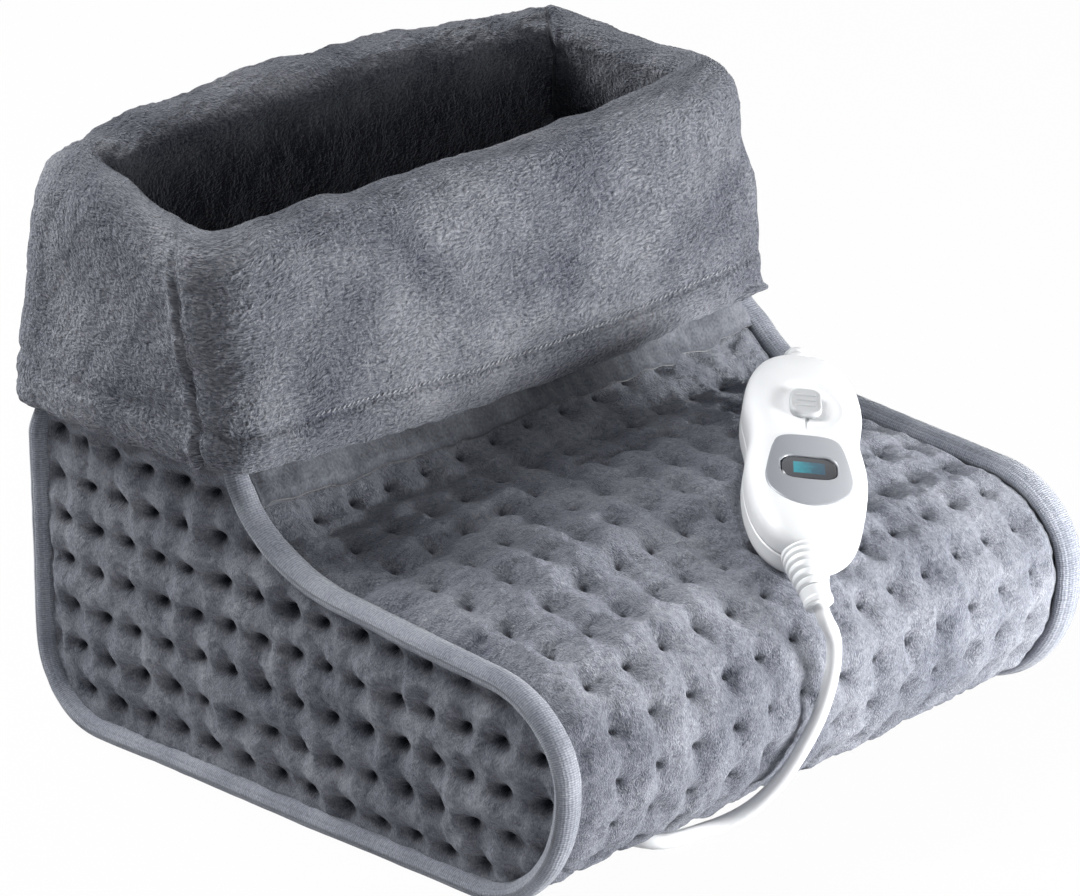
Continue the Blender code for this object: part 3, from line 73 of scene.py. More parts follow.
def make_camera():
    camera = bpy.data.cameras.new("camera")
    camera.sensor_fit = "HORIZONTAL"
    camera.lens = camera.sensor_width * FOCAL_PIXELS / IMAGE_WIDTH
    camera.clip_end = 20.0
    holder = bpy.data.objects.new("camera", camera)
    bpy.context.collection.objects.link(holder)
    holder.location = CAMERA_PLACE
    holder.rotation_euler = CAMERA_FORWARD.to_track_quat("-Z", "Y").to_euler()
    bpy.context.scene.camera = holder
    return holder


camera = make_camera()
print("lens", round(camera.data.lens, 1), "mm")

# %% [markdown]
# ## The studio
#
# The product stands on white with hardly any shadow. More light would bleach the plush, so
# the whiteness comes from the floor and the world instead: the camera sees them nearly
# white, while the object is lit at a plain level by soft lamps and a pale world.

# %% Floor, world and lamps
FLOOR_SIZE = 12.0
FLOOR_WHITE_SHARE = 0.97     # how much of the floor's light ignores its shadow
WORLD_LEVEL = 0.12
TOP_POWER = 35.0
FRONT_POWER = 6.5
SIDE_POWER = 20.0
BOUNCE_POWER = 19.0


def seen_directly(tree):
    """1 for a ray from the camera, off a shiny face or through glass, 0 for the light's own."""
    path = tree.nodes.new("ShaderNodeLightPath")
    seen = path.outputs["Is Camera Ray"]
    for kind in ("Is Glossy Ray", "Is Transmission Ray"):
        either = tree.nodes.new("ShaderNodeMath")
        either.operation = "MAXIMUM"
        tree.links.new(seen, either.inputs[0])
        tree.links.new(path.outputs[kind], either.inputs[1])
        seen = either.outputs[0]
    return seen


def seen_as_white(tree, lit, strength):
    """Mix that is white where it is seen directly, and lights as the lit shader does."""
    glow = tree.nodes.new("ShaderNodeEmission")
    glow.inputs["Strength"].default_value = 1.0
    scale = tree.nodes.new("ShaderNodeMath")
    scale.operation = "MULTIPLY"
    scale.inputs[1].default_value = strength
    tree.links.new(seen_directly(tree), scale.inputs[0])
    mix = tree.nodes.new("ShaderNodeMixShader")
    tree.links.new(scale.outputs[0], mix.inputs[0])
    tree.links.new(lit, mix.inputs[1])
    tree.links.new(glow.outputs[0], mix.inputs[2])
    return mix


def make_floor():
    mesh = bpy.data.meshes.new("floor")
    half = FLOOR_SIZE / 2
    corners = [(-half, -half, 0.0), (half, -half, 0.0), (half, half, 0.0), (-half, half, 0.0)]
    mesh.from_pydata(corners, [], [(0, 1, 2, 3)])
    floor = bpy.data.objects.new("floor", mesh)
    bpy.context.collection.objects.link(floor)
    paint = bpy.data.materials.new("pale floor")
    paint.use_nodes = True
    tree = paint.node_tree
    shader = tree.nodes["Principled BSDF"]
    shader.inputs["Base Color"].default_value = (0.55, 0.55, 0.56, 1.0)
    shader.inputs["Roughness"].default_value = 0.7
    mix = seen_as_white(tree, shader.outputs[0], FLOOR_WHITE_SHARE)
    tree.links.new(mix.outputs[0], tree.nodes["Material Output"].inputs["Surface"])
    mesh.materials.append(paint)
    return floor


def make_world():
    world = bpy.data.worlds.new("studio")
    bpy.context.scene.world = world
    world.use_nodes = True
    tree = world.node_tree
    light = tree.nodes["Background"]
    light.inputs["Color"].default_value = (0.86, 0.92, 1.0, 1.0)
    light.inputs["Strength"].default_value = WORLD_LEVEL
    white = tree.nodes.new("ShaderNodeBackground")
    white.inputs["Color"].default_value = (1.0, 1.0, 1.0, 1.0)
    mix = tree.nodes.new("ShaderNodeMixShader")
    tree.links.new(seen_directly(tree), mix.inputs[0])
    tree.links.new(light.outputs[0], mix.inputs[1])
    tree.links.new(white.outputs[0], mix.inputs[2])
    tree.links.new(mix.outputs[0], tree.nodes["World Output"].inputs["Surface"])


def make_lamp(name, place, target, size, power):
    light = bpy.data.lights.new(name, "AREA")
    light.shape = "SQUARE"
    light.size = size
    light.energy = power
    lamp = bpy.data.objects.new(name, light)
    bpy.context.collection.objects.link(lamp)
    lamp.location = place
    aim = Vector(target) - Vector(place)
    lamp.rotation_euler = aim.to_track_quat("-Z", "Y").to_euler()
    return lamp


make_floor()
make_world()
middle = (0.0, 0.0, 0.12)
toe = (0.02, -0.165, 0.02)
make_lamp("top", (-0.35, 1.00, 1.68), middle, 0.9, TOP_POWER)
make_lamp("front", (-0.65, -1.70, 1.10), middle, 1.0, FRONT_POWER)
make_lamp("side", (-0.85, 1.20, 1.35), middle, 0.5, SIDE_POWER)
make_lamp("bounce", (0.30, -0.66, 0.01), toe, 0.35, BOUNCE_POWER)
bpy.context.scene.view_settings.view_transform = "Standard"
print("studio ready")

# %% [markdown]
# ## Sizes taken from the frame
#
# The frame's boxes give the places of the seams, so nothing here is fitted by eye: the
# bindings span the boot from toe to heel, and the sides lie at the crest of the side
# panels. Only the form of the side outline, its corner rounds, is written again.

# %% Sizes of the boot
GAP = 0.0003
NECK_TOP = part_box("back_panel")[1].z
TOE_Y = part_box("left_binding")[0].y
HEEL_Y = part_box("left_binding")[1].y
HALF_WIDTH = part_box("right_side_panel")[1].x
SIDE_INNER_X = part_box("right_side_panel")[0].x
PANEL_HALF_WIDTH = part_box("upper_panel")[1].x
NECK_FRONT_Y = HEEL_Y - 0.125
NECK_LEAN = 0.008
ANKLE_HEIGHT = 0.111
ANKLE_DROP = 0.041
ANKLE_RUN = 0.058
TOE_HEIGHT = 0.0953
TOE_TOP_RUN = 0.041
TOE_TOP_SHARE = 0.388
TOE_BOTTOM_SHARE = 0.588
TOE_BOTTOM_RUN = 0.050
HEEL_RUN = 0.038
HEEL_RISE = 0.040
ROUND_SHARE = 0.5523
PANEL_START = 0.0243
SOLE_TUCK = 0.005
PANEL_SETBACK = 0.0015
CROWN = 0.0175
CROWN_ANKLE_SHARE = 0.85
CROWN_TOE_SHARE = 0.40
NOSE_CROWN = 0.006
CROWN_POWER = 3.4
print("boot from", round(TOE_Y, 4), "to", round(HEEL_Y, 4), "half width", round(HALF_WIDTH, 4))

# %% [markdown]
# ## The lead
#
# A cord is a fixed length of something bendy. The photograph shows this one from end to
# end: out of the controller's relief, down over the toe and into the seam under it. Its
# points are the ones that the CAD's tube follows, smoothed by a Catmull-Rom curve, which
# passes through every point without corners.

# %% Lay the lead along its route
CORD_DIAMETER = 0.0062
CORD_SAMPLES = 40
CURVE_STEPS = 12
GLAND_X = -0.084
GLAND_LENGTH = 0.008
SOLE_FRONT_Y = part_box("sole_panel")[0].y
GLAND_Z = 0.0053
CORD_ROUTE = [
    (-0.0135, -0.1660, 0.0840),
    (-0.0138, -0.1668, 0.0740),
    (-0.0155, -0.1662, 0.0640),
    (-0.0185, -0.1655, 0.0550),
    (-0.0225, -0.1643, 0.0465),
    (-0.0270, -0.1622, 0.0380),
    (-0.0310, -0.1590, 0.0295),
    (-0.0350, -0.1538, 0.0205),
    (-0.0400, -0.1470, 0.0120),
    (-0.0470, -0.1398, 0.0060),
    (-0.0560, -0.1348, 0.0036),
    (-0.0665, -0.1325, 0.0034),
    (-0.0760, -0.1298, 0.0040),
    (-0.0822, -0.1235, 0.0053),
]


def run_length(points):
    """Distance along a line of points, from 0 at its start."""
    return np.append(0.0, np.cumsum(np.linalg.norm(np.diff(points, axis=0), axis=1)))


def along_line(points, lengths, places):
    """The line's points at some distances along it."""
    return np.stack([np.interp(places, lengths, column) for column in points.T], axis=-1)


def smooth_curve(points, samples):
    """Even samples of a Catmull-Rom curve through the points."""
    points = np.array(points, float)
    ends = np.vstack([2 * points[0] - points[1], points, 2 * points[-1] - points[-2]])
    t = (np.arange(CURVE_STEPS) / CURVE_STEPS)[:, None]
    dense = []
    for p0, p1, p2, p3 in zip(ends, ends[1:], ends[2:], ends[3:]):
        dense.append(0.5 * (2 * p1 + (p2 - p0) * t + (2 * p0 - 5 * p1 + 4 * p2 - p3) * t**2
                            + (3 * p1 - p0 - 3 * p2 + p3) * t**3))
    dense = np.vstack(dense + [points[-1:]])
    lengths = run_length(dense)
    return along_line(dense, lengths, np.linspace(0.0, lengths[-1], samples))


# %% [markdown]
# ## The controller's own axes
#
# The controller lies tilted on the instep. Its axes are read from the frame: the slide
# button moves along its length, the circuit board is flat across its thickness, and the
# four screws stand round its middle. With those, each of its pieces can be drawn straight
# and put in place by one matrix.

# %% Read the controller's place from the frame
BOARD_LOW = 0.0090           # the board's underside over the controller's back
SCREWS_MIDDLE = -0.0010      # the screws' middle along the controller


def node_points(name):
    mesh = frame["nodes"][name].data
    points = np.zeros(len(mesh.vertices) * 3)
    mesh.vertices.foreach_get("co", points)
    return points.reshape(-1, 3)


def controller_matrix():
    along = -Vector(frame["joints"][0]["axis"]).normalized()
    board = frame["nodes"]["circuit_board"].data
    face = max(board.polygons, key=lambda polygon: polygon.area)
    up = face.normal.copy()
    up = up if up.z > 0 else -up
    up = (up - along * up.dot(along)).normalized()
    across = along.cross(up)
    screws = np.vstack([node_points(f"case_screw_{i}").mean(axis=0) for i in (1, 2, 3, 4)])
    middle = Vector(screws.mean(axis=0))
    board_low = min(Vector(p).dot(up) for p in node_points("circuit_board"))
    middle += up * (board_low - BOARD_LOW - middle.dot(up)) - along * SCREWS_MIDDLE
    turn = Matrix((across, along, up)).transposed().to_4x4()
    return Matrix.Translation(middle) @ turn


CONTROLLER = controller_matrix()
TO_CONTROLLER = CONTROLLER.inverted()
print("controller at", [round(c, 4) for c in CONTROLLER.translation])

# %% [markdown]
# ## Helpers for dense cloth
#
# Quilted plush has too much form for a few faces and a modifier. Its surface is worked out
# in NumPy as a dense grid of points, about 1 mm apart, and then turned into a mesh. Each
# point also stores its place on the cloth, which the materials read so that the pile
# follows the cloth and not the world.

# %% Mesh building


def make_object(name, points, faces, finish, cloth=None, painted_shade=None):
    """A smooth mesh; cloth is each point's place on the fabric, and the last argument a share of
    painted shade.
    """
    mesh = bpy.data.meshes.new(name)
    mesh.from_pydata(np.asarray(points).tolist(), [], faces)
    clean = bmesh.new()
    clean.from_mesh(mesh)
    bmesh.ops.recalc_face_normals(clean, faces=clean.faces)
    clean.to_mesh(mesh)
    clean.free()
    mesh.shade_smooth()
    if cloth is not None:
        place = mesh.attributes.new("cloth", "FLOAT_VECTOR", "POINT")
        place.data.foreach_set("vector", np.asarray(cloth, np.float32).ravel())
        painted_shade_share = mesh.attributes.new("painted_shade", "FLOAT", "POINT")
        painted_shade_share.data.foreach_set("value", np.asarray(painted_shade, np.float32).ravel())
    mesh.materials.append(finish)
    made = bpy.data.objects.new(name, mesh)
    bpy.context.collection.objects.link(made)
    return made


def grid_faces(rows, columns, first=0, around=False, closed=False):
    """Quads of a grid; around joins the last column to the first, closed the rows."""
    spans = columns if around else columns - 1
    levels = rows if closed else rows - 1
    i, j = np.meshgrid(np.arange(levels), np.arange(spans), indexing="ij")
    below = (i + 1) % rows
    beside = (j + 1) % columns
    quads = np.stack([i * columns + j, i * columns + beside, below * columns + beside,
                      below * columns + j], axis=-1) + first
    return [tuple(q) for q in quads.reshape(-1, 4).tolist()]


def cloth_grid(down, over, step):
    """Two grids of distances, down and over a cloth, with points about step apart."""
    rows = int((down[1] - down[0]) / step)
    columns = int((over[1] - over[0]) / step)
    return np.meshgrid(np.linspace(*down, rows), np.linspace(*over, columns), indexing="ij")


def cloth_map(u, v, patch):
    """Each point's place on its own cloth; patch keeps one cloth's pile apart from another's."""
    return np.stack([u, v, np.full_like(u, patch)], axis=-1)


def moved_by(matrix, points):
    turn = np.array(matrix)
    return np.asarray(points) @ turn[:3, :3].T + turn[:3, 3]


print("mesh helpers ready")

# %% Hills, slopes and bells
HILL_CELLS = 64              # the random table repeats after so many cells


def hills(u, v, size, seed):
    """Smooth random hills from -1 to 1, about size metres across."""
    table = np.random.default_rng(seed).uniform(-1.0, 1.0, (HILL_CELLS, HILL_CELLS))
    a = np.asarray(u) / size
    b = np.asarray(v) / size
    i = np.floor(a).astype(int)
    j = np.floor(b).astype(int)
    s = a - i
    t = b - j
    s = s * s * (3 - 2 * s)
    t = t * t * (3 - 2 * t)
    i, i_next = i % HILL_CELLS, (i + 1) % HILL_CELLS
    j, j_next = j % HILL_CELLS, (j + 1) % HILL_CELLS
    low = table[i, j] * (1 - s) + table[i_next, j] * s
    high = table[i, j_next] * (1 - s) + table[i_next, j_next] * s
    return low * (1 - t) + high * t


def ease(t):
    """A slope from 0 to 1 that starts and ends gently."""
    t = np.clip(t, 0.0, 1.0)
    return t * t * (3 - 2 * t)


def bell(away, reach):
    """1 in the middle, and next to nothing beyond twice the reach."""
    return np.exp(-(away / reach) ** 2)


def unit(vectors):
    """The same directions, each with length 1."""
    return vectors / np.maximum(np.linalg.norm(vectors, axis=-1, keepdims=True), 1e-12)


print("hills from", *(round(float(hills(u, 0.0, 1.0, 1)), 2) for u in (0.0, 0.5, 1.0)))

# %% [markdown]
# ## The side outline
#
# The boot is a side outline pulled across its width: neck, ankle, instep, toe, sole and
# heel. Each corner is one cubic curve between two straight runs. Everything that bends
# over the foot, from the quilted panels to the bindings, is placed by its distance along
# this line and its depth inside it.

# %% Outline of the boot from the side
CORNER_STEPS = 48
NORMAL_STEP = 0.0008         # the outline's direction is measured over twice this length


def side_outline(top, steps=CORNER_STEPS):
    """Points (y, z) from the neck round toe and heel, and where each corner lies."""
    lean = NECK_LEAN / (NECK_TOP - ANKLE_HEIGHT)
    corners = [
        ((NECK_FRONT_Y, ANKLE_HEIGHT), ANKLE_DROP, ANKLE_RUN),
        ((TOE_Y, TOE_HEIGHT), TOE_TOP_RUN, TOE_HEIGHT * TOE_TOP_SHARE),
        ((TOE_Y, 0.0), TOE_HEIGHT * TOE_BOTTOM_SHARE, TOE_BOTTOM_RUN),
        ((HEEL_Y, 0.0), HEEL_RUN, HEEL_RISE),
    ]
    start = (NECK_FRONT_Y + lean * (top - ANKLE_HEIGHT), top)
    places = [np.array(p) for p in [start] + [c[0] for c in corners] + [(HEEL_Y, top)]]
    points = [places[0]]
    marks = []
    for i, (_, before, after) in enumerate(corners, start=1):
        corner = places[i]
        back = places[i - 1] - corner
        ahead = places[i + 1] - corner
        first = corner + back / np.linalg.norm(back) * before
        last = corner + ahead / np.linalg.norm(ahead) * after
        near = first + (corner - first) * ROUND_SHARE
        far = last + (corner - last) * ROUND_SHARE
        marks.append((len(points), len(points) + steps))
        for t in np.linspace(0.0, 1.0, steps + 1):
            u = 1.0 - t
            points.append(first * u**3 + near * 3 * u * u * t + far * 3 * u * t * t + last * t**3)
    points.append(places[-1])
    points = np.array(points)
    lengths = run_length(points)
    spans = [(lengths[a], lengths[b]) for a, b in marks]
    return points, lengths, spans


PROFILE, PROFILE_S, (ANKLE, TOE_TOP, TOE_BOTTOM, HEEL) = side_outline(NECK_TOP)
UPPER_START = ANKLE[0] + PANEL_START
UPPER_END = TOE_BOTTOM[1] + SOLE_TUCK
BACK_START = HEEL[0] - SOLE_TUCK


def profile_at(s):
    """Points and inward normals of the side outline at distances s."""
    s = np.asarray(s, float)
    here, before, after = (along_line(PROFILE, PROFILE_S, s + off)
                           for off in (0.0, -NORMAL_STEP, NORMAL_STEP))
    along = unit(after - before)
    return here, np.stack([-along[..., 1], along[..., 0]], axis=-1)


def across_boot(x, outline):
    """Points of the boot, from their place across it and their (y, z) on its outline."""
    return np.stack([x, outline[..., 0], outline[..., 1]], axis=-1)


print("outline", round(PROFILE_S[-1], 4), "m long")
print("quilted upper", round(UPPER_END - UPPER_START, 4), "m long")

# %% [markdown]
# ## Finishes
#
# Each finish is a small tree of nodes. Short plush looks soft because its pile leans: it is
# streaky along the lean, mottled where hands have brushed it, and pale at its edges, where
# the tips catch the light. So the plush mixes three sizes of noise, reads the cloth's own
# place so that the streaks follow the sewing, and adds a sheen.

# %% Helpers for node trees


def new_finish(name, roughness, specular=0.5):
    finish = bpy.data.materials.new(name)
    finish.use_nodes = True
    shader = finish.node_tree.nodes["Principled BSDF"]
    shader.inputs["Roughness"].default_value = roughness
    shader.inputs["Specular IOR Level"].default_value = specular
    return finish, finish.node_tree, shader


def add_node(tree, kind, inputs=None, **settings):
    """A node; inputs may be plain values or the sockets to link from."""
    made = tree.nodes.new(kind)
    for key, value in settings.items():
        setattr(made, key, value)
    for key, value in (inputs or {}).items():
        if isinstance(value, bpy.types.NodeSocket):
            tree.links.new(value, made.inputs[key])
        else:
            made.inputs[key].default_value = value
    return made


def noise(tree, place, scale, detail=2.0, distortion=0.0):
    made = add_node(tree, "ShaderNodeTexNoise",
                    {"Vector": place, "Scale": scale, "Detail": detail, "Distortion": distortion})
    return made.outputs["Fac"]


def calc(tree, operation, a, b=0.0, c=0.0):
    made = add_node(tree, "ShaderNodeMath", {0: a, 1: b, 2: c}, operation=operation)
    return made.outputs[0]


def stretch(tree, place, scale):
    made = add_node(tree, "ShaderNodeMapping", {"Vector": place, "Scale": scale})
    return made.outputs[0]


def ramp(tree, share, stops):
    made = add_node(tree, "ShaderNodeValToRGB", {"Fac": share})
    made.color_ramp.elements[0].position = stops[0][0]
    made.color_ramp.elements[0].color = (*stops[0][1], 1.0)
    made.color_ramp.elements[1].position = stops[-1][0]
    made.color_ramp.elements[1].color = (*stops[-1][1], 1.0)
    for position, colour in stops[1:-1]:
        made.color_ramp.elements.new(position).color = (*colour, 1.0)
    return made.outputs["Color"]


def bump(tree, shader, height, distance, strength=1.0):
    made = add_node(tree, "ShaderNodeBump",
                    {"Height": height, "Distance": distance, "Strength": strength})
    tree.links.new(made.outputs["Normal"], shader.inputs["Normal"])


def mix_colours(tree, share, first, second):
    made = add_node(tree, "ShaderNodeMix", {"Factor": share, 6: first, 7: second},
                    data_type="RGBA")
    return made.outputs[2]


def paint(tree, shader, colour):
    tree.links.new(colour, shader.inputs["Base Color"])


def add_sheen(shader, weight, roughness):
    shader.inputs["Sheen Weight"].default_value = weight
    shader.inputs["Sheen Roughness"].default_value = roughness


def object_place(tree):
    return add_node(tree, "ShaderNodeTexCoord").outputs["Object"]


def cloth_place(tree):
    return add_node(tree, "ShaderNodeAttribute", attribute_name="cloth").outputs["Vector"]


def read_painted_shade(tree):
    return add_node(tree, "ShaderNodeAttribute", attribute_name="painted_shade").outputs["Fac"]


def paint_shade(tree, shader, colour, share, shadow):
    """Painted shade: by the share stored on each point, the colour goes to a shadow colour."""
    hole = calc(tree, "MULTIPLY", read_painted_shade(tree), share)
    paint(tree, shader, mix_colours(tree, hole, colour, (*shadow, 1.0)))


print("node helpers ready")

# %% Plush
PLUSH_DARK = (0.050, 0.055, 0.078)
PLUSH_MIDDLE = (0.192, 0.202, 0.234)
PLUSH_LIGHT = (0.400, 0.410, 0.444)
PILE = (2300.0, 980.0, 1000.0)       # strands in a metre, across the cloth and along it
TUFTS_PER_METRE = 430.0
TUFT_SHARE = 0.36
STRAND_SHARE = 0.50


def plush(name, level=1.0, nap=24.0, pile=PILE, depth=0.0010, patches=0.52, sway=0.007,
          strand=STRAND_SHARE, sheen=0.30):
    """Short pile. level scales its colour and nap is how many patches lie in a metre."""
    finish, tree, shader = new_finish(name, 0.92, 0.12)
    add_sheen(shader, sheen, 0.42)
    shader.inputs["Sheen Tint"].default_value = (0.86, 0.90, 1.0, 1.0)
    place = cloth_place(tree)
    lean = add_node(tree, "ShaderNodeTexNoise", {"Vector": place, "Scale": 42.0, "Detail": 1.0})
    swayed = add_node(tree, "ShaderNodeVectorMath",
                      {0: lean.outputs["Color"], 1: (sway, sway, 0.0), 2: place},
                      operation="MULTIPLY_ADD").outputs[0]
    brushed = noise(tree, place, nap, 3.0, 0.8)
    strands = noise(tree, stretch(tree, swayed, pile), 1.0, 2.5, 0.5)
    tufts = noise(tree, swayed, TUFTS_PER_METRE, 2.0, 0.5)
    mixed = calc(tree, "MULTIPLY_ADD", brushed, patches,
                 0.5 - 0.5 * (patches + TUFT_SHARE + strand))
    mixed = calc(tree, "MULTIPLY_ADD", tufts, TUFT_SHARE, mixed)
    mixed = calc(tree, "MULTIPLY_ADD", strands, strand, mixed)
    colours = [[c * level for c in tone] for tone in (PLUSH_DARK, PLUSH_MIDDLE, PLUSH_LIGHT)]
    colour = ramp(tree, mixed, [(0.24, colours[0]), (0.50, colours[1]), (0.76, colours[2])])
    # Painted shade: near black where the points carry it, in holes, valleys, seams and deep inside.
    paint_shade(tree, shader, colour, 0.97, (0.004, 0.005, 0.010))
    height = calc(tree, "MULTIPLY_ADD", strands, 0.8, calc(tree, "MULTIPLY", tufts, 0.7))
    bump(tree, shader, height, depth)
    return finish


quilt_plush = plush("quilted plush", 1.08, depth=0.0015, strand=0.62)
side_plush = plush("side plush", 0.90, nap=34.0, depth=0.0013, strand=0.56)
collar_plush = plush("collar plush", 0.66, nap=19.0, pile=(430.0, 1050.0, 800.0), depth=0.0024,
                     patches=0.66, sway=0.008, strand=0.85, sheen=0.32)
# The linings are a dark plush, set darker still as painted shade of the boot's deep inside.
lining_plush = plush("lining plush", 0.13, nap=22.0, sheen=0.12)
print("plush finishes:", [m.name for m in (quilt_plush, side_plush, collar_plush, lining_plush)])

# %% Knit tape, smooth fleece and sole cloth


def knit_tape():
    """Ribs across the tape, fine wales along it, both worn a little uneven."""
    finish, tree, shader = new_finish("knit tape", 0.85, 0.2)
    add_sheen(shader, 0.22, 0.5)
    place = cloth_place(tree)
    ribs = add_node(tree, "ShaderNodeTexWave",
                    {"Vector": place, "Scale": 330.0, "Distortion": 1.2, "Detail": 1.5,
                     "Detail Scale": 2.0}, bands_direction="Y").outputs["Fac"]
    wales = add_node(tree, "ShaderNodeTexWave",
                     {"Vector": place, "Scale": 260.0, "Distortion": 1.6, "Detail": 1.0},
                     bands_direction="X").outputs["Fac"]
    fuzz = noise(tree, place, 900.0, 3.0)
    cloud = noise(tree, place, 45.0, 2.0)
    mixed = calc(tree, "MULTIPLY_ADD", ribs, 0.14, calc(tree, "MULTIPLY", cloud, 0.40))
    mixed = calc(tree, "MULTIPLY_ADD", fuzz, 0.50, mixed)
    colour = ramp(tree, mixed, [(0.28, (0.110, 0.121, 0.148)), (0.50, (0.225, 0.240, 0.280)),
                                (0.72, (0.385, 0.402, 0.446))])
    # Painted shade in the tape's seam lines.
    paint_shade(tree, shader, colour, 0.7, (0.03, 0.034, 0.045))
    height = calc(tree, "MULTIPLY_ADD", ribs, 0.55, calc(tree, "MULTIPLY", wales, 0.35))
    bump(tree, shader, calc(tree, "MULTIPLY_ADD", fuzz, 0.35, height), 0.00028)
    return finish


def smooth_fleece():
    """Short even nap: soft clouds of tone and a fine grain, without strands."""
    finish, tree, shader = new_finish("smooth fleece", 0.8, 0.25)
    add_sheen(shader, 0.3, 0.4)
    place = cloth_place(tree)
    cloud = noise(tree, place, 38.0, 3.0, 0.5)
    grain = noise(tree, stretch(tree, place, (900.0, 700.0, 900.0)), 1.0, 3.0, 0.6)
    mixed = calc(tree, "MULTIPLY_ADD", cloud, 0.6, calc(tree, "MULTIPLY", grain, 0.4))
    colour = ramp(tree, mixed, [(0.36, (0.046, 0.050, 0.060)), (0.52, (0.112, 0.119, 0.138)),
                                (0.68, (0.205, 0.214, 0.240))])
    # Painted shade along the band's tucked edge.
    paint_shade(tree, shader, colour, 0.6, (0.05, 0.055, 0.07))
    bump(tree, shader, grain, 0.0005)
    return finish


def sole_cloth():
    """Plain weave with rows of small grip dots."""
    finish, tree, shader = new_finish("sole cloth", 0.8, 0.3)
    place = cloth_place(tree)
    warp, weft = (add_node(tree, "ShaderNodeTexWave", {"Vector": place, "Scale": 240.0},
                           bands_direction=direction).outputs["Fac"] for direction in "XY")
    weave = calc(tree, "MAXIMUM", warp, weft)
    dots = add_node(tree, "ShaderNodeTexVoronoi",
                    {"Vector": place, "Scale": 160.0, "Randomness": 0.0}).outputs["Distance"]
    dot = calc(tree, "LESS_THAN", dots, 0.28)
    base = ramp(tree, weave, [(0.2, (0.035, 0.038, 0.045)), (0.9, (0.085, 0.090, 0.105))])
    paint(tree, shader, mix_colours(tree, dot, base, (0.05, 0.052, 0.058, 1.0)))
    bump(tree, shader, calc(tree, "MULTIPLY_ADD", dot, 1.5, weave), 0.0003)
    return finish


tape = knit_tape()
fleece = smooth_fleece()
sole_weave = sole_cloth()
print("cloth finishes:", [m.name for m in (quilt_plush, side_plush, collar_plush, tape, fleece)])

# %% Plastics, vinyl, metal and the inner parts


def moulded(name, colour, roughness, grain=0.00002, size=2200.0, coat=0.0, metal=0.0,
            marble=0.012):
    """Moulded or painted stuff: a faint cloudiness in colour, a fine grain in relief."""
    finish, tree, shader = new_finish(name, roughness)
    shader.inputs["Coat Weight"].default_value = coat
    shader.inputs["Coat Roughness"].default_value = 0.12
    shader.inputs["Metallic"].default_value = metal
    place = object_place(tree)
    cloud = noise(tree, place, 55.0, 3.0)
    dark = tuple(c * (1.0 - marble) for c in colour)
    light = tuple(min(c * (1.0 + marble), 1.0) for c in colour)
    paint(tree, shader, ramp(tree, cloud, [(0.35, dark), (0.65, light)]))
    wear = ramp(tree, noise(tree, place, 140.0, 4.0),
                [(0.3, (roughness * 0.94,) * 3), (0.7, (min(roughness * 1.06, 1.0),) * 3)])
    tree.links.new(wear, shader.inputs["Roughness"])
    bump(tree, shader, noise(tree, place, size, 2.0), grain)
    return finish


white_plastic = moulded("white plastic", (0.80, 0.81, 0.82), 0.34, coat=0.08)
grey_plastic = moulded("grey plastic", (0.46, 0.468, 0.48), 0.42)
white_vinyl = moulded("white vinyl", (0.78, 0.79, 0.80), 0.38, grain=0.00004, size=900.0)
white_rubber = moulded("white soft plastic", (0.80, 0.81, 0.82), 0.42, grain=0.00003)
dark_plastic = moulded("dark plastic", (0.03, 0.031, 0.034), 0.4)
foam = moulded("foam", (0.62, 0.60, 0.52), 0.95, grain=0.0006, size=900.0, marble=0.10)
felt = moulded("heater felt", (0.33, 0.33, 0.34), 0.95, grain=0.0005, size=700.0, marble=0.15)
wire_sleeve = moulded("wire sleeve", (0.72, 0.70, 0.66), 0.5, grain=0.00005)
screw_steel = moulded("screw steel", (0.55, 0.56, 0.58), 0.32, metal=1.0)
gland_rubber = moulded("gland rubber", (0.70, 0.71, 0.72), 0.55)
cut_out_case = moulded("cut-out case", (0.05, 0.05, 0.055), 0.45)
inner_wire = moulded("inner lead", (0.60, 0.61, 0.62), 0.45)


def board_finish():
    """Green solder mask with paler copper runs under it."""
    finish, tree, shader = new_finish("circuit board", 0.35)
    place = object_place(tree)
    runs = add_node(tree, "ShaderNodeTexBrick",
                    {"Vector": place, "Scale": 160.0, "Mortar Size": 0.03,
                     "Color1": (0.008, 0.075, 0.030, 1.0), "Color2": (0.010, 0.090, 0.036, 1.0),
                     "Mortar": (0.045, 0.170, 0.070, 1.0)})
    paint(tree, shader, runs.outputs["Color"])
    bump(tree, shader, runs.outputs["Fac"], 0.00005)
    return finish


green_board = board_finish()
print("hard finishes ready")

# %% [markdown]
# ## The quilting
#
# The plush is tufted: a stitch pulls it down to a pin-deep hole every two centimetres, and
# the stuffing swells between. Cloth simulation can puff such a panel, but it needs seams at
# every tuft and loses the small holes. Here the form is known well enough to be written as
# a depth: a broad funnel, a narrow hole, faint valleys from tuft to tuft, and wrinkles.

# %% Depth of a tufted quilt
FUNNEL_DEPTH = 0.0024
FUNNEL_REACH = 0.0062
PIN_DEPTH = 0.0032
PIN_REACH = 0.0014
# the painted shade round each pin hole reaches this far
PIN_SHADE_REACH = 0.0017
VALLEY_DEPTH = 0.0026
VALLEY_REACH = 0.0042
LINE_SHARES = (1.0, 0.45)    # the valleys along the cloth are stronger than those across
WANDER = 0.0012
WRINKLE_DEPTH = 0.0007
ROLLING_DEPTH = 0.0008


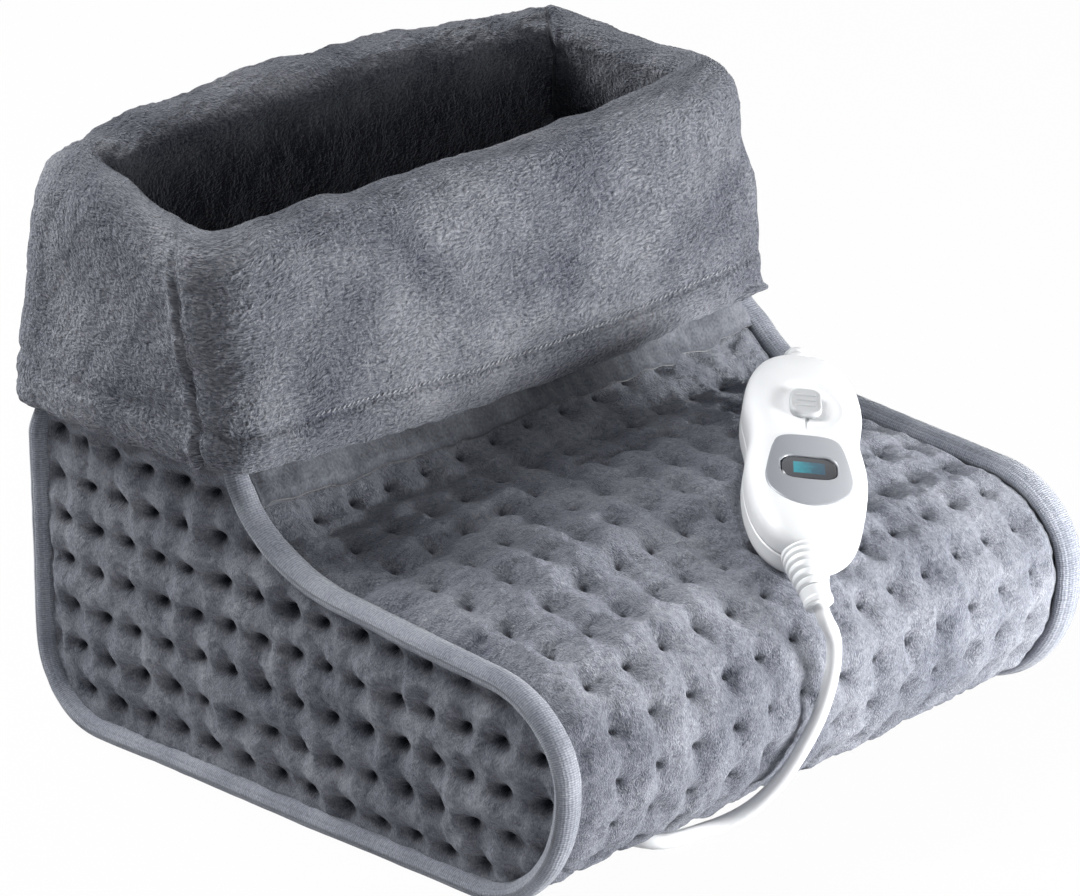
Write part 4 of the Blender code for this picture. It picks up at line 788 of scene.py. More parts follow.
def quilt(a, b, pitch_a, pitch_b, seed, bite=1.0, shares=LINE_SHARES, valley_shade=0.10):
    """Depth under the pillows, and the painted shade in its holes, funnels and valleys; whole a and
    b are tufts.
    """
    u = a * pitch_a
    v = b * pitch_b
    a = a + WANDER / pitch_a * hills(u, v, 0.031, seed)
    b = b + WANDER / pitch_b * hills(u, v, 0.027, seed + 1)
    i = np.round(a)
    j = np.round(b)
    du = (a - i) * pitch_a
    dv = (b - j) * pitch_b
    away = np.hypot(du, dv)
    angle = np.arctan2(dv, du)
    luck = hills(i * 7.0 + 0.5, j * 5.0 + 0.5, 1.0, seed + 2)
    lean = math.pi * hills(i * 3.0 + 0.5, j * 11.0 + 0.5, 1.0, seed + 3)
    reach = FUNNEL_REACH * (1.0 + 0.30 * np.cos(angle - lean) + 0.16 * np.cos(3 * angle + 2 * lean))
    funnel = FUNNEL_DEPTH * bite * (1.0 + 0.30 * luck) * bell(away, reach)
    pin = PIN_DEPTH * bite * (1.0 + 0.25 * luck) * bell(away, PIN_REACH * bite)
    pull_a = np.cos(math.pi * (a - i)) ** 2
    pull_b = np.cos(math.pi * (b - j)) ** 2
    valley = shares[0] * bell(du, VALLEY_REACH) * (0.45 + 0.55 * pull_b)
    across = shares[1] * bell(dv, VALLEY_REACH) * (0.35 + 0.65 * pull_a)
    valley = np.maximum(valley, across)
    wrinkle = 1.0 - np.abs(hills(u + 0.004 * hills(u, v, 0.02, seed + 4), v, 0.0105, seed + 5)) * 2
    wrinkle += 0.45 * hills(u, v, 0.0052, seed + 6)
    depth = funnel + pin + VALLEY_DEPTH * valley + WRINKLE_DEPTH * wrinkle
    depth = depth + ROLLING_DEPTH * hills(u, v, 0.034, seed + 7)
    # Painted shade: dark in each pin hole, softer round its funnel, and along the valleys.
    painted_shade_share = bell(away, PIN_SHADE_REACH * bite)
    painted_shade_share = painted_shade_share + (0.12 + 0.9 * max(bite - 1.0, 0.0)) * bell(away, 0.7 * reach)
    painted_shade_share = painted_shade_share + valley_shade * valley * (1.0 + 0.5 * hills(u, v, 0.013, seed + 8))
    return depth, np.clip(painted_shade_share, 0.0, 1.0)


def pile(u, v, seed, height=0.00045, size=0.0034):
    """Clumps of pile that stand up from the cloth, no finer than its grid can hold."""
    return height * (hills(u, v, size, seed) + 0.6 * hills(v, u, 0.75 * size, seed + 1))


# %% Closed panels with one dense face


def slab(name, outer, left, right, finish, cloth, painted_shade):
    """A dense face, closed by side walls and a plain face ruled between two edges."""
    rows, columns = outer.shape[:2]
    base = rows * columns
    points = np.vstack([outer.reshape(-1, 3), left, right])
    faces = grid_faces(rows, columns)
    for i in range(rows - 1):
        start = i * columns
        end = start + columns - 1
        faces.append((base + i, base + i + 1, base + rows + i + 1, base + rows + i))
        faces.append((start, start + columns, base + i + 1, base + i))
        faces.append((end, end + columns, base + rows + i + 1, base + rows + i))
    last = (rows - 1) * columns
    faces.append((*range(columns), base + rows, base))
    faces.append((*range(last, last + columns), base + 2 * rows - 1, base + rows - 1))
    spare = np.zeros((2 * rows, 3))
    place = np.vstack([cloth.reshape(-1, 3), spare])
    painted_shade_share = np.append(painted_shade.ravel(), np.zeros(2 * rows))
    return make_object(name, points, faces, finish, place, painted_shade_share)


def finish_soft(piece, node):
    """Every soft piece rides the boot and stands for its CAD node, which is hidden."""
    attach(piece, "boot")
    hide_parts(node)
    print(piece.name, len(piece.data.polygons), "faces")
    return piece


# %% [markdown]
# ## The upper panel
#
# One quilted piece runs from the ankle over the instep and round the toe. It swells most at
# mid width, is flattened where the controller lies on it, and gives way under the lead.

# %% Lay the upper panel over the foot
CLOTH_STEP = 0.00105
NOSE = (TOE_TOP[1] + TOE_BOTTOM[0]) / 2
INSTEP_MIDDLE = (ANKLE[1] + TOE_TOP[0]) / 2
CROWN_KEYS = [(UPPER_START, 0.0), (ANKLE[1], CROWN_ANKLE_SHARE), (INSTEP_MIDDLE, 1.0),
              (TOE_TOP[0], CROWN_TOE_SHARE), (NOSE, NOSE_CROWN / CROWN), (TOE_BOTTOM[1], 0.0)]
UPPER_PITCH_X = 0.0211
UPPER_PITCH_S = 0.0216
TUFT_X = -0.1255             # a tuft near the left front corner, which the others count from
TUFT_S = UPPER_START + 0.2075
TUFT_SLANT = 0.045
UPPER_BITE = 0.84
UPPER_HALF = PANEL_HALF_WIDTH + 0.0016       # the plush swells over the seam
EDGE_DROP = 0.0022
HOLD_REACH = 0.007           # the quilting fades over this border
PANEL_UNDER = PANEL_SETBACK + 0.0085         # depth of the panels' plain face
COVER_START = 0.155          # from here up the cuff hides the panels, which are drawn in
COVER_RUN = 0.035
CASE_LENGTH = 0.139
CASE_HALF_WIDTH = 0.0256


def crown_share(s):
    share = np.zeros_like(s)
    for (low, a), (high, b) in zip(CROWN_KEYS, CROWN_KEYS[1:]):
        share = np.where(s >= low, a + (b - a) * ease((s - low) / (high - low)), share)
    return share


def case_half_width(y):
    """Half width of the controller: two lobes with a waist between."""
    share = np.minimum(np.abs(y) / (CASE_LENGTH / 2), 1.0)
    power = np.where(y > 0, 3.3, 3.2)
    full = (1.0 - share**power) ** (1.0 / 2.4)
    waist = 0.10 * np.exp(-((y - 0.005) / 0.011) ** 2 / 2)
    return CASE_HALF_WIDTH * full * (1.0 - waist)


def press_under_controller(points):
    """Flatten the plush under the controller, with a soft slope round it."""
    local = moved_by(TO_CONTROLLER, points)
    beside = np.abs(local[..., 0]) - case_half_width(local[..., 1])
    beyond = np.abs(local[..., 1]) - CASE_LENGTH / 2
    away = np.maximum(np.maximum(beside, beyond), 0.0)
    limit = -GAP + 0.75 * away + 14.0 * away**2
    excess = np.maximum(local[..., 2] - limit, 0.0)
    near = (away < 0.05) & (np.abs(local[..., 0]) < 0.09) & (np.abs(local[..., 1]) < 0.12)
    local[..., 2] -= np.where(near, excess, 0.0)
    return moved_by(CONTROLLER, local)


def press_round_lead(points, inward, clearance=0.0005):
    """Push the plush in along its own depth wherever the lead touches it."""
    want = CORD_DIAMETER / 2 + clearance
    for spot in LEAD_LINE:
        gap = points - spot
        level = (gap * inward).sum(axis=-1)
        side = np.sqrt(np.maximum((gap**2).sum(axis=-1) - level**2, 0.0))
        need = np.sqrt(np.maximum(want**2 - side**2, 0.0)) - level
        push = np.where((side < want) & (level > -3 * want), np.maximum(need, 0.0), 0.0)
        points = points + inward * push[..., None]
    return points


def upper_grid():
    s, x = cloth_grid((UPPER_START, UPPER_END), (-UPPER_HALF, UPPER_HALF), CLOTH_STEP)
    a = (x - TUFT_X) / UPPER_PITCH_X
    b = (s - TUFT_S + TUFT_SLANT * (x - TUFT_X)) / UPPER_PITCH_S
    depth, painted_shade_share = quilt(a, b, UPPER_PITCH_X, UPPER_PITCH_S, 11, UPPER_BITE)
    edge = np.minimum(UPPER_HALF - np.abs(x), s - UPPER_START)
    hold = ease(edge / HOLD_REACH)
    depth = depth * (0.3 + 0.7 * hold) + EDGE_DROP * (1.0 - hold)
    # Painted shade along the panel's edge, where it meets the tape.
    painted_shade_share = painted_shade_share * hold + 0.45 * bell(edge, 0.0022)
    for place, reach, tall, left, right in CREASES:
        line = place + 0.010 * hills(x, s * 0, 0.06, 71) + 0.06 * (x - left)
        line = line + 0.0045 * hills(x, s * 0 + place * 90, 0.018, 72)
        fade = ease((x - left) / 0.03) * ease((right - x) / 0.05)
        fade = fade * (0.55 + 0.6 * hills(x, s * 0 + place * 50, 0.03, 73))
        depth = depth + tall * fade * bell(s - line, reach)
    depth = depth - pile(x, s, 31)
    crown = CROWN * (1.0 - (np.abs(x) / UPPER_HALF) ** CROWN_POWER) * crown_share(s)
    here, inward = profile_at(s)
    skin = here + inward * (PANEL_SETBACK + depth - crown)[..., None]
    points = across_boot(x, skin)
    inward = across_boot(np.zeros_like(x), inward)
    cloth = np.stack([x, s, np.zeros_like(x)], axis=-1)
    return points, inward, cloth, np.clip(painted_shade_share, 0.0, 1.0)


def rim_points(s, x, depth):
    here, inward = profile_at(s)
    skin = here + inward * depth
    return np.column_stack([np.full(len(s), x), skin])


CREASES = [
    (UPPER_START + 0.020, 0.0034, 0.0046, -0.150, 0.150),
    (UPPER_START + 0.041, 0.0036, 0.0040, -0.150, 0.080),
    (UPPER_START + 0.062, 0.0036, 0.0026, -0.150, 0.000),
]


def lower_relief_path():
    """The relief's centre line in the controller's axes: it droops over the toe."""
    count = 13
    step = 0.023 / (count - 1)
    root = Vector((0.0, -CASE_LENGTH / 2, 0.011))
    path = [root + Vector((0.0, 0.0085, 0.0)), root + Vector((0.0, 0.00425, 0.0))]
    place = root
    for i in range(count):
        path.append(place.copy())
        share = float(ease((i + 1) / (count - 1)))
        heading = Vector((0.0, -1.0, 0.0))
        heading.rotate(Matrix.Rotation(math.radians(26.0) * share, 3, "X"))
        heading.rotate(Matrix.Rotation(math.radians(24.0) * share, 3, "Z"))
        place = place + heading * step
    return path


RELIEF_PATH = [CONTROLLER @ p for p in lower_relief_path()]


def lead_route():
    tip = RELIEF_PATH[-1]
    heading = (RELIEF_PATH[-1] - RELIEF_PATH[-2]).normalized()
    mouth = Vector((GLAND_X, SOLE_FRONT_Y - GLAND_LENGTH, GLAND_Z))
    inward = Vector((0.0, 1.0, 0.0))
    return ([tip + heading * GAP, tip + heading * CORD_DIAMETER] + list(CORD_ROUTE)
            + [mouth - inward * CORD_DIAMETER, mouth - inward * GAP])


LEAD_LINE = smooth_curve(lead_route(), CORD_SAMPLES)


def make_lead():
    line = bpy.data.curves.new("lead", "CURVE")
    line.dimensions = "3D"
    line.bevel_depth = CORD_DIAMETER / 2
    line.bevel_resolution = 6
    spline = line.splines.new("POLY")
    spline.points.add(len(LEAD_LINE) - 1)
    for point, place in zip(spline.points, LEAD_LINE):
        point.co = (*place, 1.0)
    line.use_fill_caps = True
    line.materials.append(white_vinyl)
    lead = bpy.data.objects.new("lead", line)
    bpy.context.collection.objects.link(lead)
    return lead


def make_upper():
    points, inward, cloth, painted_shade_share = upper_grid()
    points = press_under_controller(points)
    points = press_round_lead(points, inward)
    s = cloth[:, 0, 1]
    under = PANEL_UNDER
    left = rim_points(s, -PANEL_HALF_WIDTH, under)
    right = rim_points(s, PANEL_HALF_WIDTH, under)
    return slab("quilted_upper", points, left, right, quilt_plush, cloth, painted_shade_share)


lead = make_lead()
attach(lead, "boot")
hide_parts("lead_cord")
finish_soft(make_upper(), "upper_panel")

# %% [markdown]
# ## The back panel
#
# The heel side isn't in the photograph. It is taken to be a plain run of the same quilting,
# from the sole round the heel and up into the collar.

# %% Quilt the back


def make_back():
    s, x = cloth_grid((BACK_START, PROFILE_S[-1]), (-UPPER_HALF, UPPER_HALF), CLOTH_STEP)
    a = (x - TUFT_X) / UPPER_PITCH_X
    b = (s - BACK_START) / UPPER_PITCH_S - 0.5
    depth, painted_shade_share = quilt(a, b, UPPER_PITCH_X, UPPER_PITCH_S, 91)
    edge = np.minimum(UPPER_HALF - np.abs(x), s - BACK_START)
    hold = ease(edge / HOLD_REACH)
    here, inward = profile_at(s)
    covered = ease((here[..., 1] - COVER_START) / COVER_RUN)
    swell = 0.0040 * (1.0 - (np.abs(x) / UPPER_HALF) ** 4) * ease((s - HEEL[0]) / 0.05)
    swell = swell * (1.0 - covered) - 0.0028 * covered
    depth = depth * (0.3 + 0.7 * hold) + EDGE_DROP * (1.0 - hold) - swell - pile(x, s, 37)
    skin = here + inward * (PANEL_SETBACK + depth)[..., None]
    points = across_boot(x, skin)
    cloth = cloth_map(x, s, 0.4)
    under = PANEL_UNDER
    left = rim_points(s[:, 0], -PANEL_HALF_WIDTH, under)
    right = rim_points(s[:, 0], PANEL_HALF_WIDTH, under)
    return slab("quilted_back", points, left, right, quilt_plush, cloth, painted_shade_share * hold)


finish_soft(make_back(), "back_panel")

# %% [markdown]
# ## The side panels
#
# Each side is flat cloth cut to the boot's outline, tufted, and drawn in at its binding.
# A grid doesn't fit this outline, so the panel is a triangulated cloud of points inside it,
# which Blender's constrained Delaunay triangulation closes neatly at the border.

# %% Quilt both sides
from mathutils.geometry import delaunay_2d_cdt

SIDE_STEP = 0.0011
SIDE_TUCK = 0.0072           # how far inside the outline the panel ends, under the tape
SIDE_SWELL = 0.0022
SIDE_BITE = 1.04             # its tufts are pulled in harder than those of the upper
SIDE_LINES = (0.80, 1.40)    # and its valleys from heel to toe are the stronger ones
SIDE_FOLDS = 0.0016
SIDE_ORIGIN = (0.15425, 0.13276)
SIDE_COLUMN = (-0.018986, -0.00053)
SIDE_ROW = (-0.002482, -0.018716)


def inset_outline(top, inset):
    points, _, _ = side_outline(top)
    along = unit(np.gradient(points, axis=0))
    moved = points + np.column_stack([-along[:, 1], along[:, 0]]) * inset
    moved[0, 1] = top
    moved[-1, 1] = top
    return moved


def resample_loop(points, step):
    closed = np.vstack([points, points[:1]])
    lengths = run_length(closed)
    even = np.arange(0.0, lengths[-1] - step / 2, step)
    return along_line(closed, lengths, even)


def distance_inside(spots, rim):
    """Distance of each spot from the rim, below 0 outside it."""
    nearest = np.full(len(spots), 1e9)
    inside = np.zeros(len(spots), bool)
    for a, b in zip(rim, np.roll(rim, -1, axis=0)):
        edge = b - a
        share = np.clip(((spots - a) @ edge) / max(edge @ edge, 1e-12), 0.0, 1.0)
        nearest = np.minimum(nearest, np.linalg.norm(spots - a - share[:, None] * edge, axis=1))
        crosses = (a[1] > spots[:, 1]) != (b[1] > spots[:, 1])
        if a[1] != b[1]:
            where = a[0] + (spots[:, 1] - a[1]) * edge[0] / (b[1] - a[1])
            inside ^= crosses & (spots[:, 0] < where)
    return np.where(inside, nearest, -nearest)


def flat_mesh(rim, step, seed):
    """Rim and inner points with the triangles between them."""
    low = rim.min(axis=0)
    high = rim.max(axis=0)
    y, z = np.meshgrid(np.arange(low[0], high[0], step), np.arange(low[1], high[1], step * 0.87))
    y[1::2] += step / 2
    spots = np.column_stack([y.ravel(), z.ravel()])
    spots += np.random.default_rng(seed).uniform(-0.15, 0.15, spots.shape) * step
    spots = spots[distance_inside(spots, rim[::4]) > step * 0.6]
    cloud = [Vector(p) for p in np.vstack([rim, spots]).tolist()]
    edges = [(i, (i + 1) % len(rim)) for i in range(len(rim))]
    flat, _, faces, _, _, _ = delaunay_2d_cdt(cloud, edges, [], 1, 1e-6)
    return np.array([tuple(p) for p in flat]), [tuple(face) for face in faces]


def make_side(name, side, flat, faces, rim, seed):
    away = distance_inside(flat, rim[::4])
    origin = np.array(SIDE_ORIGIN)
    lattice = np.linalg.inv(np.array([SIDE_COLUMN, SIDE_ROW]).T) @ (flat - origin).T
    pitch = (math.hypot(*SIDE_COLUMN), math.hypot(*SIDE_ROW))
    # The last argument is painted shade along the side's valleys, stronger than on the upper.
    depth, painted_shade_share = quilt(lattice[0], lattice[1], *pitch, seed, SIDE_BITE, SIDE_LINES, 0.34)
    y, z = flat[:, 0], flat[:, 1]
    depth = depth + SIDE_FOLDS * hills(y + 0.25 * z, 0.30 * z - 0.10 * y, 0.0095, seed + 50)
    depth = depth + 0.8 * SIDE_FOLDS * hills(0.35 * y + 0.2 * z, z - 0.2 * y, 0.011, seed + 51)
    hold = ease(away / 0.008)
    swell = SIDE_SWELL * ease(away / 0.04)
    depth = depth * (0.35 + 0.65 * hold) + 0.0030 * (1.0 - ease(away / 0.012)) - swell
    depth = depth - pile(flat[:, 0], flat[:, 1], seed + 40)
    depth = depth + 0.0042 * ease((flat[:, 1] - COVER_START) / COVER_RUN)
    outer = np.column_stack([side * (HALF_WIDTH - depth), flat])
    count = len(rim)
    inner = np.column_stack([np.full(count, side * SIDE_INNER_X), flat[:count]])
    base = len(outer)
    walls = [(i, (i + 1) % count, base + (i + 1) % count, base + i) for i in range(count)]
    closed = faces + walls + [tuple(range(base, base + count))]
    cloth = np.column_stack([flat, np.full(len(flat), 0.7 * side)])
    cloth = np.vstack([cloth, np.zeros((count, 3))])
    painted_shade_share = np.append(painted_shade_share * hold, np.zeros(count))
    return make_object(name, np.vstack([outer, inner]), closed, side_plush, cloth, painted_shade_share)


side_rim = resample_loop(inset_outline(NECK_TOP, SIDE_TUCK), SIDE_STEP)
side_flat, side_faces = flat_mesh(side_rim, SIDE_STEP, 5)
print("side panel", len(side_flat), "points")
for side, node, seed in ((-1, "left_side_panel", 201), (1, "right_side_panel", 301)):
    name = node.replace("side_panel", "quilted_side")
    panel = make_side(name, side, side_flat, side_faces, side_rim, seed)
    finish_soft(panel, node)

# %% [markdown]
# ## The binding tapes
#
# A folded knit tape closes each seam. It is a rounded strip that follows the side outline
# all the way, so a section is swept along it. It isn't even: it swells a little between its
# stitches.

# %% Sew the tapes round the sides
TAPE_STEP = 0.0011
TAPE_SIDES = 30
TAPE_DEEP = 0.0088
TAPE_TOP = 0.158             # it ends under the cuff
TAPE_PROUD = 0.0016
TAPE_FULLER = {-1: 0.0, 1: 0.0022}           # the right one bulges, as in the photograph
TAPE_OFF = 0.0022            # beside the quilting, where a dark line shows
STITCH_PITCH = 0.0034


def make_tape(name, side):
    path, lengths, _ = side_outline(TAPE_TOP)
    even = np.linspace(0.0, lengths[-1], int(lengths[-1] / TAPE_STEP))
    place = along_line(path, lengths, even)
    along = unit(np.gradient(place, axis=0))
    inward = np.column_stack([-along[:, 1], along[:, 0]])
    inner = PANEL_HALF_WIDTH + TAPE_OFF
    outer = HALF_WIDTH + TAPE_PROUD
    middle_x = (inner + outer) / 2
    turn = 2 * math.pi * np.arange(TAPE_SIDES) / TAPE_SIDES
    c = np.cos(turn)
    d = np.sin(turn)
    s = even[:, None]
    around = turn[None, :]
    swell = 1.0 + 0.045 * hills(s, s * 0 + side, 0.018, 61)
    swell = swell + 0.02 * hills(s, around * 0.004, 0.006, 62)
    sway = 0.0005 * hills(s, s * 0 + side, 0.045, 63)
    half_x = (outer - inner) / 2
    covered = ease((place[:, 1:] - 0.128) / 0.016)
    fuller = TAPE_FULLER[side] * ease((0.120 - place[:, 1:]) / 0.03)
    x = middle_x + half_x * c * swell + sway + fuller * (0.5 + 0.5 * c) - 0.0032 * covered
    depth = TAPE_DEEP / 2 + TAPE_DEEP / 2 * d * swell - 0.0004 - 0.4 * fuller + 0.0024 * covered
    stitch = np.abs(np.sin(math.pi * s / STITCH_PITCH))
    seam = bell(around - 4.22, 0.10) + bell(around - 0.70, 0.10)
    sink = 0.00045 * seam * (0.4 + 0.6 * stitch)
    x = x - sink * np.cos(around)
    depth = depth - sink * np.sin(around)
    points = np.stack([side * x, place[:, :1] + inward[:, :1] * depth,
                       place[:, 1:] + inward[:, 1:] * depth], axis=-1)
    points = press_tape_ends(points)
    rows = len(even)
    faces = grid_faces(rows, TAPE_SIDES, around=True)
    faces.append(tuple(range(TAPE_SIDES)))
    faces.append(tuple(range((rows - 1) * TAPE_SIDES, rows * TAPE_SIDES)))
    cloth = np.stack(np.broadcast_arrays(around * 0.0045, s, 0.3 * side), axis=-1)
    # Painted shade in the tape's two sunk seam lines, changing from stitch to stitch.
    painted_shade_share = seam * (0.25 + 0.55 * (1.0 - stitch))
    return make_object(name, points.reshape(-1, 3), faces, tape, cloth.reshape(-1, 3), painted_shade_share.ravel())


def press_tape_ends(points):
    """Keep the tape off the floor by no more than a hair, as cloth that is stood on."""
    points[..., 2] = np.maximum(points[..., 2], 0.0002)
    return points


for side, name in ((-1, "left_binding"), (1, "right_binding")):
    piece = make_tape(name.replace("binding", "tape"), side)
    finish_soft(piece, name)

# %% [markdown]
# ## The fleece band
#
# Between the quilting and the collar shows a strip of smooth, paler fleece. It is a plain
# sheet laid round the front of the neck, a little rumpled where it is sewn down.

# %% Lay the band
BAND_THICKNESS = 0.0028
BAND_LAP = 0.0030
BAND_HALF = PANEL_HALF_WIDTH + TAPE_OFF + 0.0008


def make_band():
    columns = int(2 * BAND_HALF / 0.0012)
    rows = int((UPPER_START + BAND_LAP) / 0.0012)
    share, x = np.meshgrid(np.append(np.linspace(0.0, 1.0, rows), 1.0),
                           np.linspace(-BAND_HALF, BAND_HALF, columns), indexing="ij")
    end = UPPER_START + BAND_LAP + 0.0020 * hills(x, x * 0, 0.013, 81)
    end = end + 0.0009 * hills(x, x * 0, 0.0062, 82)
    s = share * end
    below = end - s
    tuck = ease(below / 0.004)
    folds = 0.0012 * hills(x * 0.30, s, 0.012, 83) + 0.0005 * hills(x, s, 0.007, 84)
    gathers = np.sin(2 * math.pi * x / 0.0085 + 2 * hills(x, s * 0, 0.03, 85))
    pucker = 0.0007 * gathers * np.exp(-below / 0.008)
    lift = (folds + pucker) * tuck - 0.0012 * (1.0 - tuck) + 0.0010 * ease(1.0 - below / 0.02)
    lift -= 0.0024 * ease((np.abs(x) - PANEL_HALF_WIDTH + 0.001) / 0.0025)
    lift[-1] -= 0.0022
    here, inward = profile_at(s)
    skin = here - inward * (lift - 0.0004)[..., None]
    points = across_boot(x, skin)
    cloth = cloth_map(x, s, 1.1)
    # Painted shade along the band's lower edge, where it tucks under.
    painted_shade_share = bell(below, 0.0012)
    left = rim_points(s[:, 0], -BAND_HALF, BAND_THICKNESS)
    right = rim_points(s[:, -1], BAND_HALF, BAND_THICKNESS)
    return slab("fleece_band", points, left, right, fleece, cloth, painted_shade_share)


band = finish_soft(make_band(), "neck_band")

# %% [markdown]
# ## The collar
#
# The collar is one tube of plush. It rises inside the neck, rolls over the rim and hangs
# down outside as a deep cuff. The CAD gives its section as a closed chain of plans; here
# the same chain is smoothed and followed in small steps. Then the cloth's own life is added:
# slow waves that inner and outer faces share, seams near the corners, and a stitched hem.

# %% Sections of the collar
COLLAR_WALL = 0.0068
ROLL = 0.0085
HEM_ROUND = 0.0030
COLLAR_LOW = 0.1903          # the wall's foot, on the linings
FRONT_TOP_Y = NECK_FRONT_Y + NECK_LEAN
INNER_PLAN = (SIDE_INNER_X - GAP, FRONT_TOP_Y + 0.0108, HEEL_Y - 0.0108, 0.013)
TOP_PLAN = (HALF_WIDTH + 0.0018, FRONT_TOP_Y - 0.0015, HEEL_Y + 0.0015, 0.013)
HEM_PLAN = (HALF_WIDTH + 0.0030, NECK_FRONT_Y - 0.0065, HEEL_Y + 0.0125 - COLLAR_WALL, 0.012)
NECK_MIDDLE = (NECK_FRONT_Y + HEEL_Y) / 2
RIM_HEIGHT = NECK_TOP + 0.021
HEM_HEIGHT = ANKLE_HEIGHT + 0.032
FINE_KEYS = 10               # the chain's first keys are the faces that show


def grown(plan, by):
    return (plan[0] + by, plan[1] - by, plan[2] + by, plan[3] + by)


def mixed(a, b, share):
    return tuple(p + (q - p) * share for p, q in zip(a, b))


def collar_sections():
    """Plan, share of the rim's height, share of the hem's height, and lift."""
    wall = COLLAR_WALL
    crest = mixed(grown(INNER_PLAN, -wall / 2), grown(TOP_PLAN, wall / 2), 0.5)
    well = grown(INNER_PLAN, -wall)
    skin = grown(TOP_PLAN, wall)
    cuff = mixed(TOP_PLAN, HEM_PLAN, 0.60)
    sections = [
        (well, 0, 0, COLLAR_LOW), (well, 1, 0, -2.2 * ROLL), (well, 1, 0, -1.1 * ROLL),
        (mixed(well, crest, 0.42), 1, 0, -0.26 * ROLL), (crest, 1, 0, 0.0),
        (mixed(skin, crest, 0.42), 1, 0, -0.26 * ROLL), (skin, 1, 0, -1.1 * ROLL),
        (grown(cuff, wall), 0.5, 0.5, 0.0), (grown(HEM_PLAN, wall), 0, 1, 3 * HEM_ROUND),
        (grown(HEM_PLAN, wall * 0.75), 0, 1, HEM_ROUND / 2),
        (grown(HEM_PLAN, wall * 0.40), 0, 1, 0.0), (HEM_PLAN, 0, 1, HEM_ROUND),
        (cuff, 0.5, 0.5, 0.0), (TOP_PLAN, 1, 0, -2.2 * ROLL),
        (mixed(TOP_PLAN, crest, 0.45), 1, 0, -1.1 * ROLL),
        (mixed(INNER_PLAN, crest, 0.45), 1, 0, -1.1 * ROLL), (INNER_PLAN, 1, 0, -2.2 * ROLL),
        (INNER_PLAN, 0, 0, COLLAR_LOW),
    ]
    return np.array([(*plan, rim, hem, lift) for plan, rim, hem, lift in sections])


def reached(rows):
    """The chain as places: its plans, and the heights that they come to."""
    height = rows[:, 4] * RIM_HEIGHT + rows[:, 5] * HEM_HEIGHT + rows[:, 6]
    return np.column_stack([rows[:, :3], 0.3 * rows[:, 3], height])


def closed_curve(keys, fine, coarse):
    """Follow a closed chain of keys, in fine steps up to FINE_KEYS and coarse ones after."""
    count = len(keys)
    places = reached(keys)
    t = (np.arange(24) / 24)[:, None]
    dense = []
    for i in range(count):
        p0, p1, p2, p3 = (keys[(i + k) % count] for k in (-1, 0, 1, 2))
        near = [places[(i + k) % count] for k in (-1, 0, 1, 2)]
        spans = [max(np.linalg.norm(b - a), 1e-6) ** 0.5 for a, b in zip(near, near[1:])]
        m1 = (p2 - p1) + spans[1] * ((p1 - p0) / spans[0] - (p2 - p0) / (spans[0] + spans[1]))
        m2 = (p2 - p1) + spans[1] * ((p3 - p2) / spans[2] - (p3 - p1) / (spans[1] + spans[2]))
        dense.append((2 * t**3 - 3 * t**2 + 1) * p1 + (t**3 - 2 * t**2 + t) * m1
                     + (3 * t**2 - 2 * t**3) * p2 + (t**3 - t**2) * m2)
    dense = np.vstack(dense + [keys[:1]])
    lengths = run_length(reached(dense))
    turn = lengths[24 * FINE_KEYS]
    even = np.append(np.arange(0.0, turn, fine), np.arange(turn, lengths[-1] - coarse / 2, coarse))
    rows = along_line(dense, lengths, even)
    return rows, even


# %% Lay out the collar's grid
COLLAR_COLUMNS = 560
COLLAR_ROUND = 0.92          # mean way round, for the lie of the pile
COLLAR_FINE = 0.0009
COLLAR_COARSE = 0.0045
RIM_ARCH = 0.013
RIM_DIP = 0.005


def rounded_plan(share, half, front, back, radius):
    """Rounded rectangles: points, outward normals, distance along, and where each leg ends.
    They are followed from the seam in the rear right corner, round by the rear."""
    width = half - radius
    depth = (back - front) / 2 - radius
    middle = (back + front) / 2
    arc = radius * math.pi / 2
    legs = np.stack([arc / 2, 2 * width, arc, 2 * depth, arc, 2 * width, arc, 2 * depth, arc / 2])
    ends = np.cumsum(legs, axis=0)
    along = share * ends[-1]
    zero = np.zeros_like(along)
    corners = {0: (1, 1, 45), 2: (-1, 1, 90), 4: (-1, -1, 180), 6: (1, -1, 270), 8: (1, 1, 0)}
    sides = {1: (0, 1), 3: (-1, 0), 5: (0, -1), 7: (1, 0)}
    found = [zero, zero, zero, zero]
    for leg in range(9):
        t = along - (ends[leg] - legs[leg])
        here = (t >= 0) & (along <= ends[leg] + 1e-9)
        if leg in corners:
            cx, cy, start = corners[leg]
            angle = math.radians(start) + t / radius
            ax, ay = np.cos(angle), np.sin(angle)
            made = (cx * width + radius * ax, middle + cy * depth + radius * ay, ax, ay)
        else:
            ox, oy = sides[leg]
            run = t - (width if oy else depth)
            made = (ox * (width + radius) - oy * run, middle + oy * (depth + radius) + ox * run,
                    zero + ox, zero + oy)
        found = [np.where(here, new, old) for new, old in zip(made, found)]
    return (*found, along, ends)


